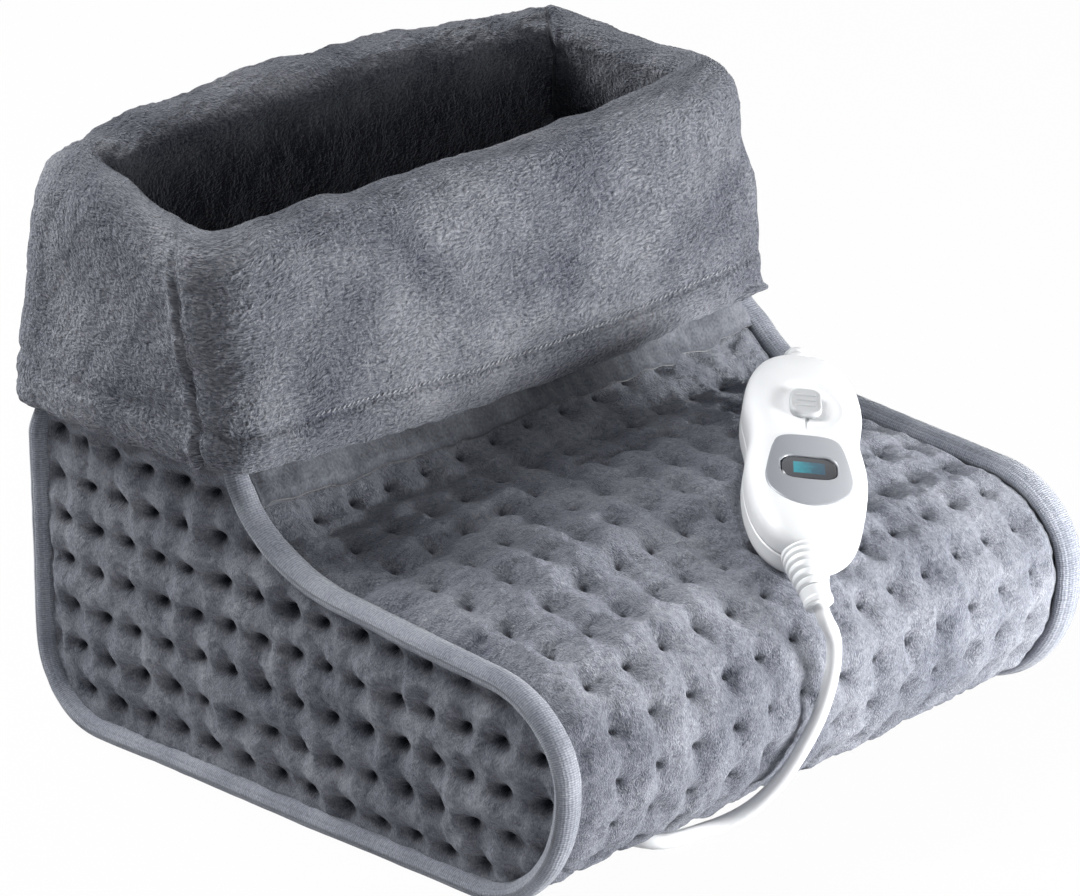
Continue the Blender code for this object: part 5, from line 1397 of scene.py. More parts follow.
def collar_grid():
    rows, v = closed_curve(collar_sections(), COLLAR_FINE, COLLAR_COARSE)
    share, half = np.meshgrid(np.arange(COLLAR_COLUMNS) / COLLAR_COLUMNS, rows[:, 0])
    front, back, radius, rim, hem, lift = (rows[:, k:k + 1] + 0 * half for k in range(1, 7))
    px, py, nx, ny, u, ends = rounded_plan(share, half, front, back, radius)
    across = np.cos(math.pi / 2 * np.minimum(np.abs(px) / HALF_WIDTH, 1.0)) ** 2
    depth = np.clip((py - NECK_MIDDLE) / (HEEL_Y - NECK_MIDDLE), -1.0, 1.0)
    behind, before = np.maximum(depth, 0), np.maximum(-depth, 0)
    rim_z = RIM_HEIGHT + across * (RIM_ARCH * behind - RIM_DIP * before)
    rim_z = rim_z - 0.0040 * ease((0.06 - px) / 0.12) * before
    rim_z = rim_z + (0.0030 + 0.0030 * bell(px + 0.098, 0.048)) * behind
    hem_z = HEM_HEIGHT - np.where(py < NECK_MIDDLE, 0.005 * across, 0.0)
    grid = np.stack([px, py, rim * rim_z + hem * hem_z + lift], axis=-1)
    out = np.stack([nx, ny, np.zeros_like(nx)], axis=-1)
    return grid, out, u, v[:, None] + 0 * u, ends, rim_z, hem_z


# %% Weave the collar
SEAM_SHIFT = 0.018           # the front seams lie this far round the corner, on the sides
SEAM_DEPTH = 0.0014
SEAM_REACH = 0.0010
BEAD_HEIGHT = 0.0016
PUCKER_DEPTH = 0.0008
PUCKER_PITCH = 0.0105
HEM_STITCH = 0.0185
DRAPE = 0.0022


def seam_gap(u, ends, facing):
    """Signed distance round the collar to the nearest of its four seams, and how it shows."""
    total = ends[-1]
    outside = ease((facing + 0.1) / 0.4)
    seams = [(0.0 * total, 1.0), ((ends[1] + ends[2]) / 2, 0.4 * outside),
             ((ends[3] + ends[4]) / 2 - SEAM_SHIFT, outside),
             ((ends[5] + ends[6]) / 2 + SEAM_SHIFT, 0.6 * outside), (total, 1.0)]
    best = np.full_like(u, 1.0)
    shows = np.zeros_like(u)
    for seam, share in seams:
        nearer = np.abs(u - seam) < np.abs(best)
        best = np.where(nearer, u - seam, best)
        shows = np.where(nearer, share, shows)
    return best, shows


def tuck_in(grid, u, ends, facing):
    """How the worn collar draws in: it leans in, thins and rounds off its corners."""
    x, y, z = grid[..., 0], grid[..., 1], grid[..., 2]
    outside = ease((facing + 0.6) / 1.2)
    total = ends[-1]
    rear = np.minimum(np.minimum(u, total - u), np.abs(u - (ends[1] + ends[2]) / 2))
    right = np.abs(u - (ends[5] + ends[6]) / 2)
    sides = (outside * (0.0015 + 0.0055 * ease((z - 0.155) / 0.050))
             + (1.0 - outside) * 0.0045 * ease((z - 0.190) / 0.020)
             + 0.0045 * ease((z - 0.228) / 0.022))
    behind = (outside * (0.0015 + 0.0030 * ease((z - 0.160) / 0.045))
              + (1.0 - outside) * 0.0030 * ease((z - 0.190) / 0.020))
    corner = 0.0010 + 0.0025 * outside + 0.0050 * ease((z - 0.200) / 0.040)
    high = ease((z - 0.200) / 0.040)
    corner = corner * bell(rear, 0.028) * 0.7
    corner += bell(right, 0.025) * (outside * (0.0056 - 0.0014 * high)
                                               + (1.0 - outside) * 0.0016 * high)
    sides = sides * np.where(x < 0, 0.6 * ease((y - NECK_FRONT_Y) / (HEEL_Y - NECK_FRONT_Y)), 1.0)
    across = np.sign(x) * (sides * ease((np.abs(x) / HALF_WIDTH - 0.55) / 0.40) + corner)
    along = behind * ease((y - NECK_MIDDLE) / 0.05) + np.sign(y - NECK_MIDDLE) * corner
    hang = np.where(x < 0, 0.35, 0.80)
    hang = hang + (1.0 - hang) * ease((z - 0.138) / 0.018)
    return np.stack([across * hang, along * hang, np.zeros_like(x)], axis=-1)


def cloth_waves(grid, size, seed):
    """Slow hills that run round the corners without a break."""
    p, q, z = grid[..., 0], grid[..., 1], grid[..., 2]
    return hills(p + 0.31 * z, q + 0.55 * z, size, seed)


def make_collar():
    grid, out, u, v, ends, rim_z, hem_z = collar_grid()
    z = grid[..., 2].copy()
    normal = np.cross(np.roll(grid, -1, axis=1) - np.roll(grid, 1, axis=1),
                      np.roll(grid, -1, axis=0) - np.roll(grid, 1, axis=0))
    normal /= np.maximum(np.linalg.norm(normal, axis=2, keepdims=True), 1e-12)
    facing = (normal * out).sum(axis=-1)
    row_of_skin = int(np.argmax(np.abs(grid[:, 0, 0])))
    if facing[row_of_skin].mean() < 0:
        normal = -normal
        facing = -facing
    seam, shows = seam_gap(u, ends, facing)
    level = np.clip((z - hem_z) / (rim_z - hem_z), 0.0, 1.0)
    outer = ease((facing + 0.3) / 0.6)
    wave = 0.6 * cloth_waves(grid, 0.082, 401) + 0.4 * cloth_waves(grid, 0.041, 402)
    hold = ease(np.abs(seam) / 0.035)
    drape = DRAPE * (0.35 + 0.85 * (1.0 - level)) * wave * (0.35 + 0.65 * hold)
    moved = grid + out * drape[..., None] - tuck_in(grid, u, ends, facing)
    right = np.minimum(u, ends[-1] - u)
    left = np.abs(u - (ends[1] + ends[2]) / 2)
    peak = 0.0060 * bell(right, 0.060) + 0.0034 * bell(left, 0.070)
    front_left = np.abs(u - (ends[3] + ends[4]) / 2 + 0.014)
    low = 0.0042 * bell(front_left, 0.036)
    peak += 0.0028 * bell(u - (ends[5] + ends[6]) / 2, 0.035)
    moved[..., 2] += (peak - low) * level
    moved[..., 2] += 0.0014 * cloth_waves(grid, 0.055, 403) * (1.0 - level)
    moved[..., 2] += 0.0007 * cloth_waves(grid, 0.047, 404) * level
    dents = 0.0012 * cloth_waves(grid, 0.021, 405) + 0.0005 * cloth_waves(grid, 0.0105, 406)
    shows = shows * (1.0 - 0.75 * ease((level - 0.80) / 0.18) * outer)
    sway_seam = seam + 0.0012 * hills(v, seam * 0, 0.011, 414)
    valley = shows * SEAM_DEPTH * bell(sway_seam, SEAM_REACH)
    bead = BEAD_HEIGHT * bell(np.abs(sway_seam) - 0.0036, 0.0026)
    bead = bead * shows * (0.5 - 0.4 * np.sign(seam))
    bead = bead * (1.0 + 0.7 * hills(v, seam * 0, 0.0042, 412))
    fan = (0.4 + 0.6 * shows) * np.exp(-np.abs(seam) / 0.010) * (1.0 - bell(seam, 0.002))
    sway = v + 0.004 * hills(u, v, 0.02, 407)
    pucker = PUCKER_DEPTH * fan * np.sin(2 * math.pi * sway / PUCKER_PITCH)
    pucker = pucker * hills(u, v, 0.017, 413)
    above = z - hem_z
    outside = facing > 0.3
    line = above - HEM_STITCH - 0.0008 * hills(u, z * 0, 0.03, 408)
    fold = outside * (0.0012 * bell(line, 0.0032) - 0.0007 * bell(line + 0.006, 0.005))
    lift = dents - valley + bead + pucker - fold + pile(u, v, 409, 0.00042, 0.0034)
    lift += (above < 0.006) * 0.0006 * hills(u, v, 0.0055, 411)
    moved += normal * lift[..., None]
    # Painted shade: dark along the seams, deepening down the inner wall, and in a line under the
    # hem's fold.
    depth = np.clip((rim_z - 0.007 - z) / 0.034, 0.0, 1.0) * (facing < -0.3)
    painted_shade_share = np.maximum(0.60 * shows * bell(sway_seam, 0.0008),
                      0.94 * ease(1.25 * depth) * (v < 0.09))
    painted_shade_share = np.maximum(painted_shade_share, outside * 0.30 * bell(line + 0.0022, 0.0010))
    cloth = np.stack([u / ends[-1] * COLLAR_ROUND, v, np.full_like(u, 2.0)], axis=-1)
    faces = grid_faces(*u.shape, around=True, closed=True)
    piece = make_object("plush_collar", moved.reshape(-1, 3), faces, collar_plush,
                        cloth.reshape(-1, 3), painted_shade_share.ravel())
    return piece, moved, normal, above * outside


collar, collar_skin, collar_normal, collar_above = make_collar()
finish_soft(collar, "collar")

# %% [markdown]
# ## The hem's stitching
#
# The cuff's hem is turned up inside and held by one line of stitches, which shows as a pale
# row of short slanting threads. Each thread is a thin closed spindle laid on the plush.

# %% Stitch the hem
THREAD_PITCH = 0.0029
THREAD_RADIUS = 0.00036
HEM_STITCHED = 0.125         # only the front of the hem shows its stitches


def spindle(start, end, radius, sides=6):
    """A thin closed thread from start to end, thick in its middle."""
    along = (end - start) / np.linalg.norm(end - start)
    across = np.cross(along, (0.0, 0.0, 1.0))
    across /= np.linalg.norm(across)
    other = np.cross(along, across)
    turn = 2 * math.pi * np.arange(sides) / sides
    points = [start]
    for share, size in ((0.25, 0.8), (0.5, 1.0), (0.75, 0.8)):
        middle = start + (end - start) * share
        ring = np.cos(turn)[:, None] * across + np.sin(turn)[:, None] * other
        points += list(middle + ring * radius * size)
    points.append(end)
    faces = [(0, 1 + (k + 1) % sides, 1 + k) for k in range(sides)]
    faces += grid_faces(3, sides, first=1, around=True)
    last = 1 + 3 * sides
    faces += [(last, last - sides + k, last - sides + (k + 1) % sides) for k in range(sides)]
    return points, faces


def hem_line():
    """Points of the stitch line on the cuff, with their outward normals."""
    rows = np.arange(collar_above.shape[0])
    spots = []
    for column in range(collar_above.shape[1]):
        height = collar_above[:, column]
        outer = rows[height > 0.004]
        row = outer[np.argmin(np.abs(height[outer] - HEM_STITCH))]
        spots.append((*collar_skin[row, column], *collar_normal[row, column]))
    spots = np.array(spots + spots[:1])
    return spots


def stitch_hem():
    spots = hem_line()
    lengths = run_length(spots[:, :3])
    count = int(lengths[-1] / THREAD_PITCH)
    rng = np.random.default_rng(17)
    points = []
    faces = []
    for k in range(count):
        a, b = (np.array([np.interp(lengths[-1] * (k + off) / count, lengths, spots[:, c])
                          for c in range(6)]) for off in (0.12, 0.88))
        if a[4] > -0.6 or abs(a[0]) > HEM_STITCHED:
            continue
        slant = 0.0006 + 0.0003 * rng.random()
        start = a[:3] + a[3:] * 0.0003 + np.array((0.0, 0.0, -slant))
        end = b[:3] + b[3:] * 0.0003 + np.array((0.0, 0.0, slant))
        part, quads = spindle(start, end, THREAD_RADIUS * (0.8 + 0.4 * rng.random()))
        faces += [tuple(i + len(points) for i in quad) for quad in quads]
        points += part
    return make_object("hem_stitches", points, faces, hem_thread)


def thread_finish():
    finish, tree, shader = new_finish("hem thread", 0.7, 0.3)
    place = object_place(tree)
    twist = noise(tree, place, 1500.0, 2.0)
    paint(tree, shader, ramp(tree, twist, [(0.35, (0.28, 0.29, 0.32)),
                                           (0.65, (0.46, 0.47, 0.50))]))
    bump(tree, shader, twist, 0.0001)
    return finish


hem_thread = thread_finish()
stitches = stitch_hem()
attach(stitches, "boot")
print("hem stitches", len(stitches.data.polygons), "faces")

# %% [markdown]
# ## Linings and sole
#
# Inside, plush lines the front, the heel and both sides, and a thicker plush pad covers the
# heated sole. Deep in the boot they hardly show, so their grids are coarser.

# %% Line the foot space
LINING_INSET = 0.0108
LINING_THICKNESS = 0.006
LINING_STEP = 0.003
LINING_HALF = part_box("upper_lining")[1].x


def lining_strip(name, start, end, seed):
    """Plush that follows the outline inside; its dense face looks into the boot."""
    s, p = cloth_grid((start, end), (-LINING_HALF, LINING_HALF), LINING_STEP)
    depth = LINING_INSET + LINING_THICKNESS - 0.0012 + 0.0010 * hills(p, s, 0.026, seed)
    depth = depth + 0.0005 * hills(p, s, 0.009, seed + 1)
    here, inward = profile_at(s)
    skin = here + inward * depth[..., None]
    points = across_boot(p, skin)
    cloth = cloth_map(p, s, 3.0)
    left = rim_points(s[:, 0], -LINING_HALF, LINING_INSET)
    right = rim_points(s[:, 0], LINING_HALF, LINING_INSET)
    # Painted shade of the boot's inside: 0.45 on every point.
    return slab(name, points, left, right, lining_plush, cloth, np.full_like(p, 0.45))


def side_lining(name, side, flat, faces, rim, seed):
    swell = 0.0010 * hills(flat[:, 0], flat[:, 1], 0.024, seed)
    swell += 0.0005 * hills(flat[:, 0], flat[:, 1], 0.009, seed + 1)
    near = SIDE_INNER_X - GAP - LINING_THICKNESS + 0.0012
    face = np.column_stack([side * (near - swell), flat])
    count = len(rim)
    back = np.column_stack([np.full(count, side * (SIDE_INNER_X - GAP)), flat[:count]])
    base = len(face)
    walls = [(i, (i + 1) % count, base + (i + 1) % count, base + i) for i in range(count)]
    closed = faces + walls + [tuple(range(base, base + count))]
    cloth = np.column_stack([flat, np.full(len(flat), 4.0 * side)])
    cloth = np.vstack([cloth, np.zeros((count, 3))])
    # Painted shade of the boot's inside: 0.45 on every point.
    return make_object(name, np.vstack([face, back]), closed, lining_plush, cloth,
                       np.full(len(cloth), 0.45))


HEEL_TOP = PROFILE_S[-1] - (NECK_TOP - 0.190)
finish_soft(lining_strip("lining_front", NECK_TOP - 0.190, UPPER_END, 501), "upper_lining")
finish_soft(lining_strip("lining_heel", BACK_START, HEEL_TOP, 511), "heel_lining")
lining_rim = resample_loop(inset_outline(0.190, LINING_INSET), LINING_STEP)
lining_flat, lining_faces = flat_mesh(lining_rim, LINING_STEP, 6)
for side, node, seed in ((-1, "left_lining", 521), (1, "right_lining", 531)):
    piece = side_lining(node.replace("lining", "plush_lining"), side, lining_flat, lining_faces,
                        lining_rim, seed)
    finish_soft(piece, node)

# %% Pad and sheet of the sole


def sole_pad(name, node, finish, step, soft, seed, lift=0.0):
    """A pad that fills its CAD node's box: a soft top, rounded at its rim, and a flat back."""
    low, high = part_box(node)
    q, p = cloth_grid((low.y, high.y), (low.x, high.x), step)
    edge = np.minimum(np.minimum(p - low.x, high.x - p), np.minimum(q - low.y, high.y - q))
    drop = (high.z - low.z) * 0.45 * (1.0 - ease(edge / (2.2 * (high.z - low.z))))
    top = high.z - drop - soft + soft * hills(p, q, 0.030, seed) + lift
    points = np.stack([p, q, top], axis=-1)
    cloth = cloth_map(p, q, 5.0)
    left = np.column_stack([p[:, 0], q[:, 0], np.full(len(p), low.z)])
    right = np.column_stack([p[:, -1], q[:, -1], np.full(len(p), low.z)])
    # Painted shade: 0.30 on every point, which only the plush finish reads.
    return slab(name, points, left, right, finish, cloth, np.full_like(p, 0.30))


def sole_sheet():
    """Tough cloth under the sole; its underside is the face that shows."""
    low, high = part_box("sole_panel")
    q, p = cloth_grid((low.y, high.y), (low.x, high.x), LINING_STEP)
    edge = np.minimum(np.minimum(p - low.x, high.x - p), np.minimum(q - low.y, high.y - q))
    under = low.z + 0.0002 + 0.0012 * (1.0 - ease(edge / 0.006))
    points = np.stack([p, q, under], axis=-1)
    cloth = cloth_map(p, q, 6.0)
    left = np.column_stack([p[:, 0], q[:, 0], np.full(len(p), high.z)])
    right = np.column_stack([p[:, -1], q[:, -1], np.full(len(p), high.z)])
    return slab("sole_sheet", points, left, right, sole_weave, cloth, np.zeros_like(p))


finish_soft(sole_pad("sole_plush", "sole_lining", lining_plush, 0.003, 0.0010, 541),
            "sole_lining")
finish_soft(sole_pad("sole_foam", "foam_pad", foam, 0.008, 0.0002, 551), "foam_pad")
finish_soft(sole_pad("heater_layer", "heater_felt", felt, 0.006, 0.0002, 561), "heater_felt")
sole = finish_soft(sole_sheet(), "sole_panel")

# %% [markdown]
# ## The hand controller
#
# The controller is a white case in two shells, with a dished field round its slide button
# and a satin trim round its display. Moulded plastic has soft edges everywhere, and flat CAD
# facets would give it away. So each shell is a dome of many fine rings, with the dish, the
# slot and the split line worked into its height.

# %% Shells of the controller
CASE_BACK = 0.011
CASE_FRONT = 0.0145
CASE_FOOT = 0.011
DOME_POWER = 4.2
FOOT_POWER = 7.0
CASE_SIDES = 240
CASE_RINGS = 74
SPLIT_GROOVE = 0.00035
DISH_Y = 0.0195
DISH_RADII = (0.0172, 0.0215)
DISH_FLOOR = CASE_BACK + 0.0132
SLOT = (0.0004, 0.0115, 0.0007, 0.0030)       # middle, and half its width and length


def even_loop(points, count):
    """The same closed line with evenly spaced points."""
    closed = np.vstack([points, points[:1]])
    lengths = run_length(closed)
    even = np.linspace(0.0, lengths[-1], count, endpoint=False)
    return along_line(closed, lengths, even)


def case_outline():
    turn = 2 * math.pi * (np.arange(4000) + 0.5) / 4000
    y = CASE_LENGTH / 2 * np.sin(turn)
    return even_loop(np.column_stack([np.sign(np.cos(turn)) * case_half_width(y), y]), CASE_SIDES)


def dome_profile(power, height):
    """Shares of the outline and heights of rings that are evenly spaced over the dome."""
    angle = np.linspace(0.0, math.pi / 2, 4000)
    share = np.cos(angle) ** (2 / power)
    lift = np.sin(angle) ** (2 / power) * height
    reach = share * CASE_HALF_WIDTH
    lengths = np.append(0.0, np.cumsum(np.hypot(np.diff(reach), np.diff(lift))))
    even = np.linspace(0.0, lengths[-1], CASE_RINGS)[:-1]
    return np.interp(even, lengths, share), np.interp(even, lengths, lift)


WINDOW_MIDDLE = (0.0, -0.0238)
WINDOW_HALF = (0.0115, 0.0078)
WINDOW_ROUND = 0.0060
WINDOW_SUNK = 0.0018


def dish_depth(x, y, top):
    """How far dish, slot and window sink the front face; the dish is crisp at its upper right."""
    reach = np.hypot(x / DISH_RADII[0], (y - DISH_Y) / DISH_RADII[1])
    bearing = np.arctan2((y - DISH_Y) / DISH_RADII[1], x / DISH_RADII[0])
    crisp = 0.5 + 0.5 * np.cos(bearing - math.radians(40))
    start = 0.38 + 0.56 * crisp
    wall = ease((1.0 - reach) / (1.0 - start))
    sunk = (top - DISH_FLOOR) * wall
    slot = ease(1.5 - np.abs(x - SLOT[0]) / SLOT[2]) * ease(2.0 - np.abs(y - SLOT[1]) / SLOT[3])
    run = np.maximum(np.abs(x - WINDOW_MIDDLE[0]) - WINDOW_HALF[0] + WINDOW_HALF[1], 0.0)
    window = np.hypot(run, y - WINDOW_MIDDLE[1]) - WINDOW_HALF[1]
    sunk = np.maximum(sunk, 0.0) + 0.0008 * slot
    return sunk + WINDOW_SUNK * ease(1.0 - (window - 0.0004) / 0.0018)


def case_shell(name, power, height, sign, dished, finish):
    outline = case_outline()
    share, lift = dome_profile(power, height)
    share = np.append([1.0 - SPLIT_GROOVE / CASE_HALF_WIDTH * 1.6], share)
    lift = np.append([0.0], lift + SPLIT_GROOVE)
    lift[1:] *= height / lift[-1]
    x = share[:, None] * outline[:, 0]
    y = share[:, None] * outline[:, 1]
    z = CASE_BACK + sign * (GAP / 2 + lift[:, None] * (1 - GAP / 2 / height)) + 0 * x
    if dished:
        z = z - dish_depth(x, y, z)
    rings, sides = x.shape
    rim = np.column_stack([outline * 0.90, np.full(sides, CASE_BACK + sign * GAP / 2)])
    points = np.vstack([np.stack([x, y, z], axis=-1).reshape(-1, 3),
                        [(0.0, 0.0, CASE_BACK + sign * height)], rim])
    faces = grid_faces(rings, sides, around=True)
    last = (rings - 1) * sides
    tip = rings * sides
    faces += [(last + k, last + (k + 1) % sides, tip) for k in range(sides)]
    inner = tip + 1
    faces += [(k, (k + 1) % sides, inner + (k + 1) % sides, inner + k) for k in range(sides)]
    faces.append(tuple(range(inner, inner + sides)))
    return make_object(name, moved_by(CONTROLLER, points), faces, finish)


def finish_hard(piece, node, body="boot"):
    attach(piece, body)
    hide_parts(node)
    print(piece.name, len(piece.data.polygons), "faces")
    return piece


finish_hard(case_shell("case_front", DOME_POWER, CASE_FRONT, 1, True, white_plastic),
            "front_shell")
finish_hard(case_shell("case_back", FOOT_POWER, CASE_FOOT, -1, False, white_plastic),
            "back_shell")

# %% Trim and lens of the display
TRIM_PROUD = 0.0004
TRIM_SIDES = 200
TRIM_RINGS = 22
TRIM_HALF = [(0.0, -0.0006), (0.0085, -0.0012), (0.0127, -0.0036), (0.0146, -0.0085),
             (0.0160, -0.0150), (0.0173, -0.0230), (0.0181, -0.0310), (0.0166, -0.0385),
             (0.0124, -0.0445), (0.0068, -0.0484), (0.0, -0.0500)]


def case_top(x, y):
    """Height of the front shell over (x, y), by searching for the ring it lies on."""
    low = np.full_like(x, 1e-6)
    high = np.ones_like(x)
    for _ in range(26):
        share = (low + high) / 2
        out = np.abs(x) / share >= case_half_width(y / share)
        low = np.where(out, share, low)
        high = np.where(out, high, share)
    fall = np.minimum(high, 1.0) ** DOME_POWER
    return CASE_BACK + CASE_FRONT * (1.0 - fall) ** (1.0 / DOME_POWER)


def trim_outline():
    left = [(-x, y) for x, y in TRIM_HALF[-2:0:-1]]
    loop = TRIM_HALF + left
    wide = smooth_curve([(*p, 0.0) for p in loop[-3:] + loop + loop[:3]], 900)[:, :2]
    return wide


def rounded_outline(half_x, half_y, radius, count):
    turn = 2 * math.pi * np.arange(2400) / 2400
    x = np.sign(np.cos(turn)) * (half_x - radius) + radius * np.cos(turn)
    y = np.sign(np.sin(turn)) * (half_y - radius) + radius * np.sin(turn)
    return even_loop(np.column_stack([x, y]), count)


def by_bearing(outline, middle, bearings):
    """Distance from the middle to the outline in each direction."""
    around = np.asarray(outline) - middle
    angle = np.arctan2(around[:, 1], around[:, 0])
    order = np.argsort(angle)
    return np.interp(bearings, angle[order], np.hypot(*around.T)[order], period=2 * math.pi)


def plate(name, inner, outer, heights, rise, base_drop, finish):
    """A thin plate between two outlines that follows the case, with softened edges."""
    bearings = 2 * math.pi * np.arange(TRIM_SIDES) / TRIM_SIDES
    middle = np.array(WINDOW_MIDDLE)
    low = np.full(len(bearings), 0.00003)        # where no hole is wanted, one too small to see
    if inner is not None:
        low = by_bearing(inner + middle, middle, bearings)
    high = by_bearing(outer, middle, bearings)
    share = np.linspace(0.0, 1.0, TRIM_RINGS)[:, None]
    reach = low + (high - low) * share
    x = middle[0] + reach * np.cos(bearings)
    y = middle[1] + reach * np.sin(bearings)
    edge = np.minimum(high - reach, reach - low + (0.01 if inner is None else 0.0))
    z = heights(x, y) + rise - 0.0006 * (1.0 - np.minimum(edge / 0.0006, 1.0)) ** 2
    base = heights(x[[0, -1]], y[[0, -1]]) - base_drop
    x = np.vstack([x, x[-1:], x[:1]])
    y = np.vstack([y, y[-1:], y[:1]])
    z = np.vstack([z, base[1:], base[:1]])
    points = np.stack([x, y, z], axis=-1).reshape(-1, 3)
    faces = grid_faces(TRIM_RINGS + 2, TRIM_SIDES, around=True, closed=True)
    cloth = points - np.array([middle[0], middle[1], 0.0])
    return make_object(name, moved_by(CONTROLLER, points), faces, finish, cloth,
                       np.zeros(len(points)))


def satin_trim():
    """Satin silver lacquer with a painted highlight: darker at its left, paler to its right; a
    faint brushing across.
    """
    finish, tree, shader = new_finish("silver trim", 0.38)
    shader.inputs["Metallic"].default_value = 0.15
    place = cloth_place(tree)
    apart = add_node(tree, "ShaderNodeSeparateXYZ", {"Vector": place})
    # Painted highlight: the colour runs from darker at the left to paler at the right.
    shade = calc(tree, "MULTIPLY_ADD", apart.outputs["X"], 16.0, 0.50)
    shade = calc(tree, "MULTIPLY_ADD", noise(tree, place, 60.0, 2.0), 0.10, shade)
    paint(tree, shader, ramp(tree, shade, [(0.20, (0.190, 0.202, 0.225)),
                                           (0.55, (0.320, 0.332, 0.360)),
                                           (0.95, (0.450, 0.462, 0.485))]))
    bump(tree, shader, noise(tree, stretch(tree, place, (300.0, 5200.0, 600.0)), 1.0, 2.0), 0.00001)
    return finish


def lens_finish():
    """Smoked lens over a small backlit panel, blue-green and brighter at its left."""
    finish, tree, shader = new_finish("display lens", 0.16)
    shader.inputs["Coat Weight"].default_value = 0.25
    shader.inputs["Coat Roughness"].default_value = 0.08
    place = cloth_place(tree)
    apart = add_node(tree, "ShaderNodeSeparateXYZ", {"Vector": place})
    x, y = apart.outputs["X"], apart.outputs["Y"]

    def inside(value, middle, half, soft):
        gap = calc(tree, "ABSOLUTE", calc(tree, "SUBTRACT", value, middle))
        made = add_node(tree, "ShaderNodeMapRange",
                        {"Value": gap, "From Min": half, "From Max": half + soft,
                         "To Min": 1.0, "To Max": 0.0})
        return made.outputs["Result"]

    panel = calc(tree, "MULTIPLY", inside(x, 0.0, 0.0062, 0.0005),
                 inside(y, -0.0003, 0.0037, 0.0005))
    smoke = ramp(tree, calc(tree, "MULTIPLY_ADD", x, -32.0, 0.5),
                 [(0.1, (0.012, 0.013, 0.018)), (0.9, (0.036, 0.040, 0.050))])
    glow_share = calc(tree, "MULTIPLY_ADD", x, -62.0, 0.5)
    glow_share = calc(tree, "MULTIPLY_ADD", noise(tree, place, 420.0, 1.0), 0.35, glow_share)
    teal = ramp(tree, glow_share, [(0.10, (0.003, 0.022, 0.050)), (0.55, (0.004, 0.055, 0.085)),
                                   (1.0, (0.006, 0.170, 0.210))])
    paint(tree, shader, mix_colours(tree, panel, smoke, teal))
    tree.links.new(teal, shader.inputs["Emission Color"])
    tree.links.new(calc(tree, "MULTIPLY", panel, 0.45), shader.inputs["Emission Strength"])
    return finish


LENS_CLEAR = 0.0002          # between the lens and its trim
window = rounded_outline(*(h + LENS_CLEAR for h in WINDOW_HALF), WINDOW_ROUND + LENS_CLEAR, 600)
trim = plate("display_trim", window, trim_outline(), case_top, TRIM_PROUD, 0.0012, satin_trim())
finish_hard(trim, "display_bezel")
lens_top = float(case_top(np.array([WINDOW_HALF[0]]), np.array([WINDOW_MIDDLE[1]]))[0]) - 0.0002


def lens_height(x, y):
    """Nearly flat, bulging a little in its middle."""
    reach = np.hypot(x / WINDOW_HALF[0], (y - WINDOW_MIDDLE[1]) / WINDOW_HALF[1])
    return lens_top + 0.0004 * (1.0 - np.minimum(reach, 1.0) ** 2)


lens_outline = rounded_outline(*WINDOW_HALF, WINDOW_ROUND, 600) + np.array(WINDOW_MIDDLE)
lens = plate("display_lens", None, lens_outline, lens_height, 0.0, 0.0009, lens_finish())
finish_hard(lens, "display_window")

# %% [markdown]
# ## The slide button and the reliefs
#
# The button is the one piece that moves: it rides the body "button" and slides 6 mm down
# its slot. The ribbed reliefs are soft plastic, so they are swept along the lead with a
# rounded rib every few millimetres.

# %% Button with three grip ridges
BUTTON_Y = 0.0225
BUTTON_HALF = (0.0066, 0.0090)
BUTTON_LOW = DISH_FLOOR + GAP
BUTTON_HEIGHT = 0.0030
RIDGE_PITCH = 0.0038
BUTTON_SIDES = 144


def make_button():
    outline = rounded_outline(*BUTTON_HALF, 0.0048, BUTTON_SIDES)
    top = BUTTON_LOW + BUTTON_HEIGHT
    bevel = [(0.0, BUTTON_LOW), (0.0, top - 0.0011), (0.00012, top - 0.0007),
             (0.0004, top - 0.0003), (0.0009, top - 0.00008)]
    rings = []
    for inset, z in bevel:
        scale = 1.0 - inset / np.array(BUTTON_HALF)
        rings.append(np.column_stack([outline * scale, np.full(BUTTON_SIDES, z)]))
    scale = 1.0 - 0.0009 / np.array(BUTTON_HALF)
    for share in np.linspace(1.0, 0.0, 40)[1:-1]:
        x, y = (outline * scale * share).T
        hollow = 0.00035 * (1.0 - (y / BUTTON_HALF[1]) ** 2)
        ridges = 0
        for k in (-1, 0, 1):
            away = np.abs(y - k * RIDGE_PITCH - 0.0006)
            span = ease((0.0046 - np.abs(x + 0.0002)) / 0.0008)
            ridges = ridges + span * (0.00036 * bell(away, 0.00040)
                                      - 0.00050 * bell(y - k * RIDGE_PITCH + 0.0002, 0.00030))
        rings.append(np.column_stack([x, y, top - hollow + ridges]))
    count = len(rings)
    points = np.vstack(rings + [np.array([[0.0, 0.0, top - 0.00035]])])
    faces = grid_faces(count, BUTTON_SIDES, around=True)
    last = (count - 1) * BUTTON_SIDES
    faces += [(last + k, last + (k + 1) % BUTTON_SIDES, count * BUTTON_SIDES)
              for k in range(BUTTON_SIDES)]
    faces.append(tuple(range(BUTTON_SIDES)))
    points[:, 1] += BUTTON_Y
    return make_object("button_cap", moved_by(CONTROLLER, points), faces, grey_plastic)


finish_hard(make_button(), "slide_button", "button")

# %% Ribbed reliefs
RELIEF_SIDES = 48
RELIEF_STEPS = 200


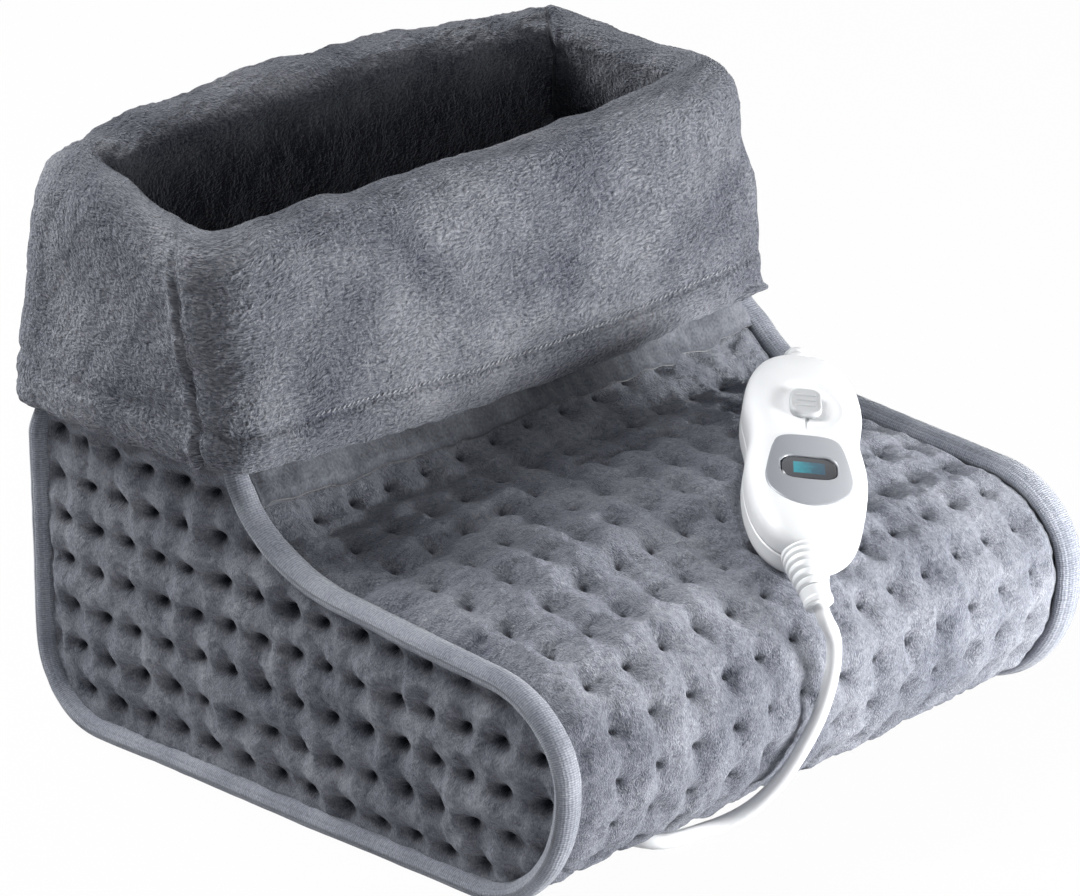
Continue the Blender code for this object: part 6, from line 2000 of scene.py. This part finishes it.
def ribbed_sweep(name, route, radius_at, flat_at, finish):
    """A closed round form along a route; radius and flattening change with the distance."""
    line = smooth_curve(route, RELIEF_STEPS)
    along = unit(np.gradient(line, axis=0))
    up = np.array(CONTROLLER)[:3, 2]
    side = np.cross(along, up)
    side /= np.linalg.norm(side, axis=1, keepdims=True)
    above = np.cross(side, along)
    share = np.linspace(0.0, 1.0, RELIEF_STEPS)
    turn = 2 * math.pi * np.arange(RELIEF_SIDES) / RELIEF_SIDES
    radius = radius_at(share)[:, None]
    flat = flat_at(share)[:, None]
    points = (line[:, None] + side[:, None] * (radius * np.cos(turn))[..., None]
              + above[:, None] * (radius * flat * np.sin(turn))[..., None])
    faces = grid_faces(RELIEF_STEPS, RELIEF_SIDES, around=True)
    faces.append(tuple(range(RELIEF_SIDES)))
    faces.append(tuple(range((RELIEF_STEPS - 1) * RELIEF_SIDES, RELIEF_STEPS * RELIEF_SIDES)))
    return make_object(name, points.reshape(-1, 3), faces, finish)


def lower_radius(share):
    base = 0.0104 + (0.0050 - 0.0104) * ease(share * 1.02)
    phase = (share * 10.0 - 0.2) % 1.0
    groove = bell(phase - 0.5, 0.16) * ease((share - 0.20) / 0.05) * ease((0.80 - share) / 0.04)
    lip = 0.0003 * ease((share - 0.90) / 0.03) * ease((0.985 - share) / 0.01)
    return base + 0.0008 - 0.0014 * groove + lip


def upper_radius(share):
    base = 0.0060 - 0.0010 * share
    rib = np.abs(np.sin(math.pi * (share * 5.0))) ** 0.8
    return (base + 0.0007 * rib * ease(share / 0.3)) * (1.0 - 0.35 * ease((share - 0.93) / 0.07))


relief = ribbed_sweep("ribbed_relief", RELIEF_PATH, lower_radius, lambda s: 0.86 + 0.14 * ease(s),
                      white_rubber)
finish_hard(relief, "lower_strain_relief")
nub_route = [CONTROLLER @ Vector((0.0, CASE_LENGTH / 2 + off, CASE_BACK)) for off in
             (-0.0085, -0.004, 0.0, 0.004, 0.008, 0.011)]
nub = ribbed_sweep("upper_nub", nub_route, upper_radius, lambda s: 1.0 + 0 * s, white_rubber)
finish_hard(nub, "upper_strain_relief")

# %% [markdown]
# ## The CAD pieces that stay
#
# What lies inside, and the gland in the toe seam, already has its right shape, so these CAD
# pieces only get their finishes.

# %% Finish the kept pieces
KEPT = {
    "circuit_board": green_board, "display_module": dark_plastic, "switch_body": dark_plastic,
    "heating_wire": wire_sleeve, "inner_lead": inner_wire, "thermal_cutout": cut_out_case,
    "cord_gland": gland_rubber, **{f"case_screw_{i}": screw_steel for i in (1, 2, 3, 4)},
}
for name, finish in KEPT.items():
    mesh = frame["nodes"][name].data
    mesh.materials.clear()
    mesh.materials.append(finish)
print("kept", len(KEPT), "CAD pieces")
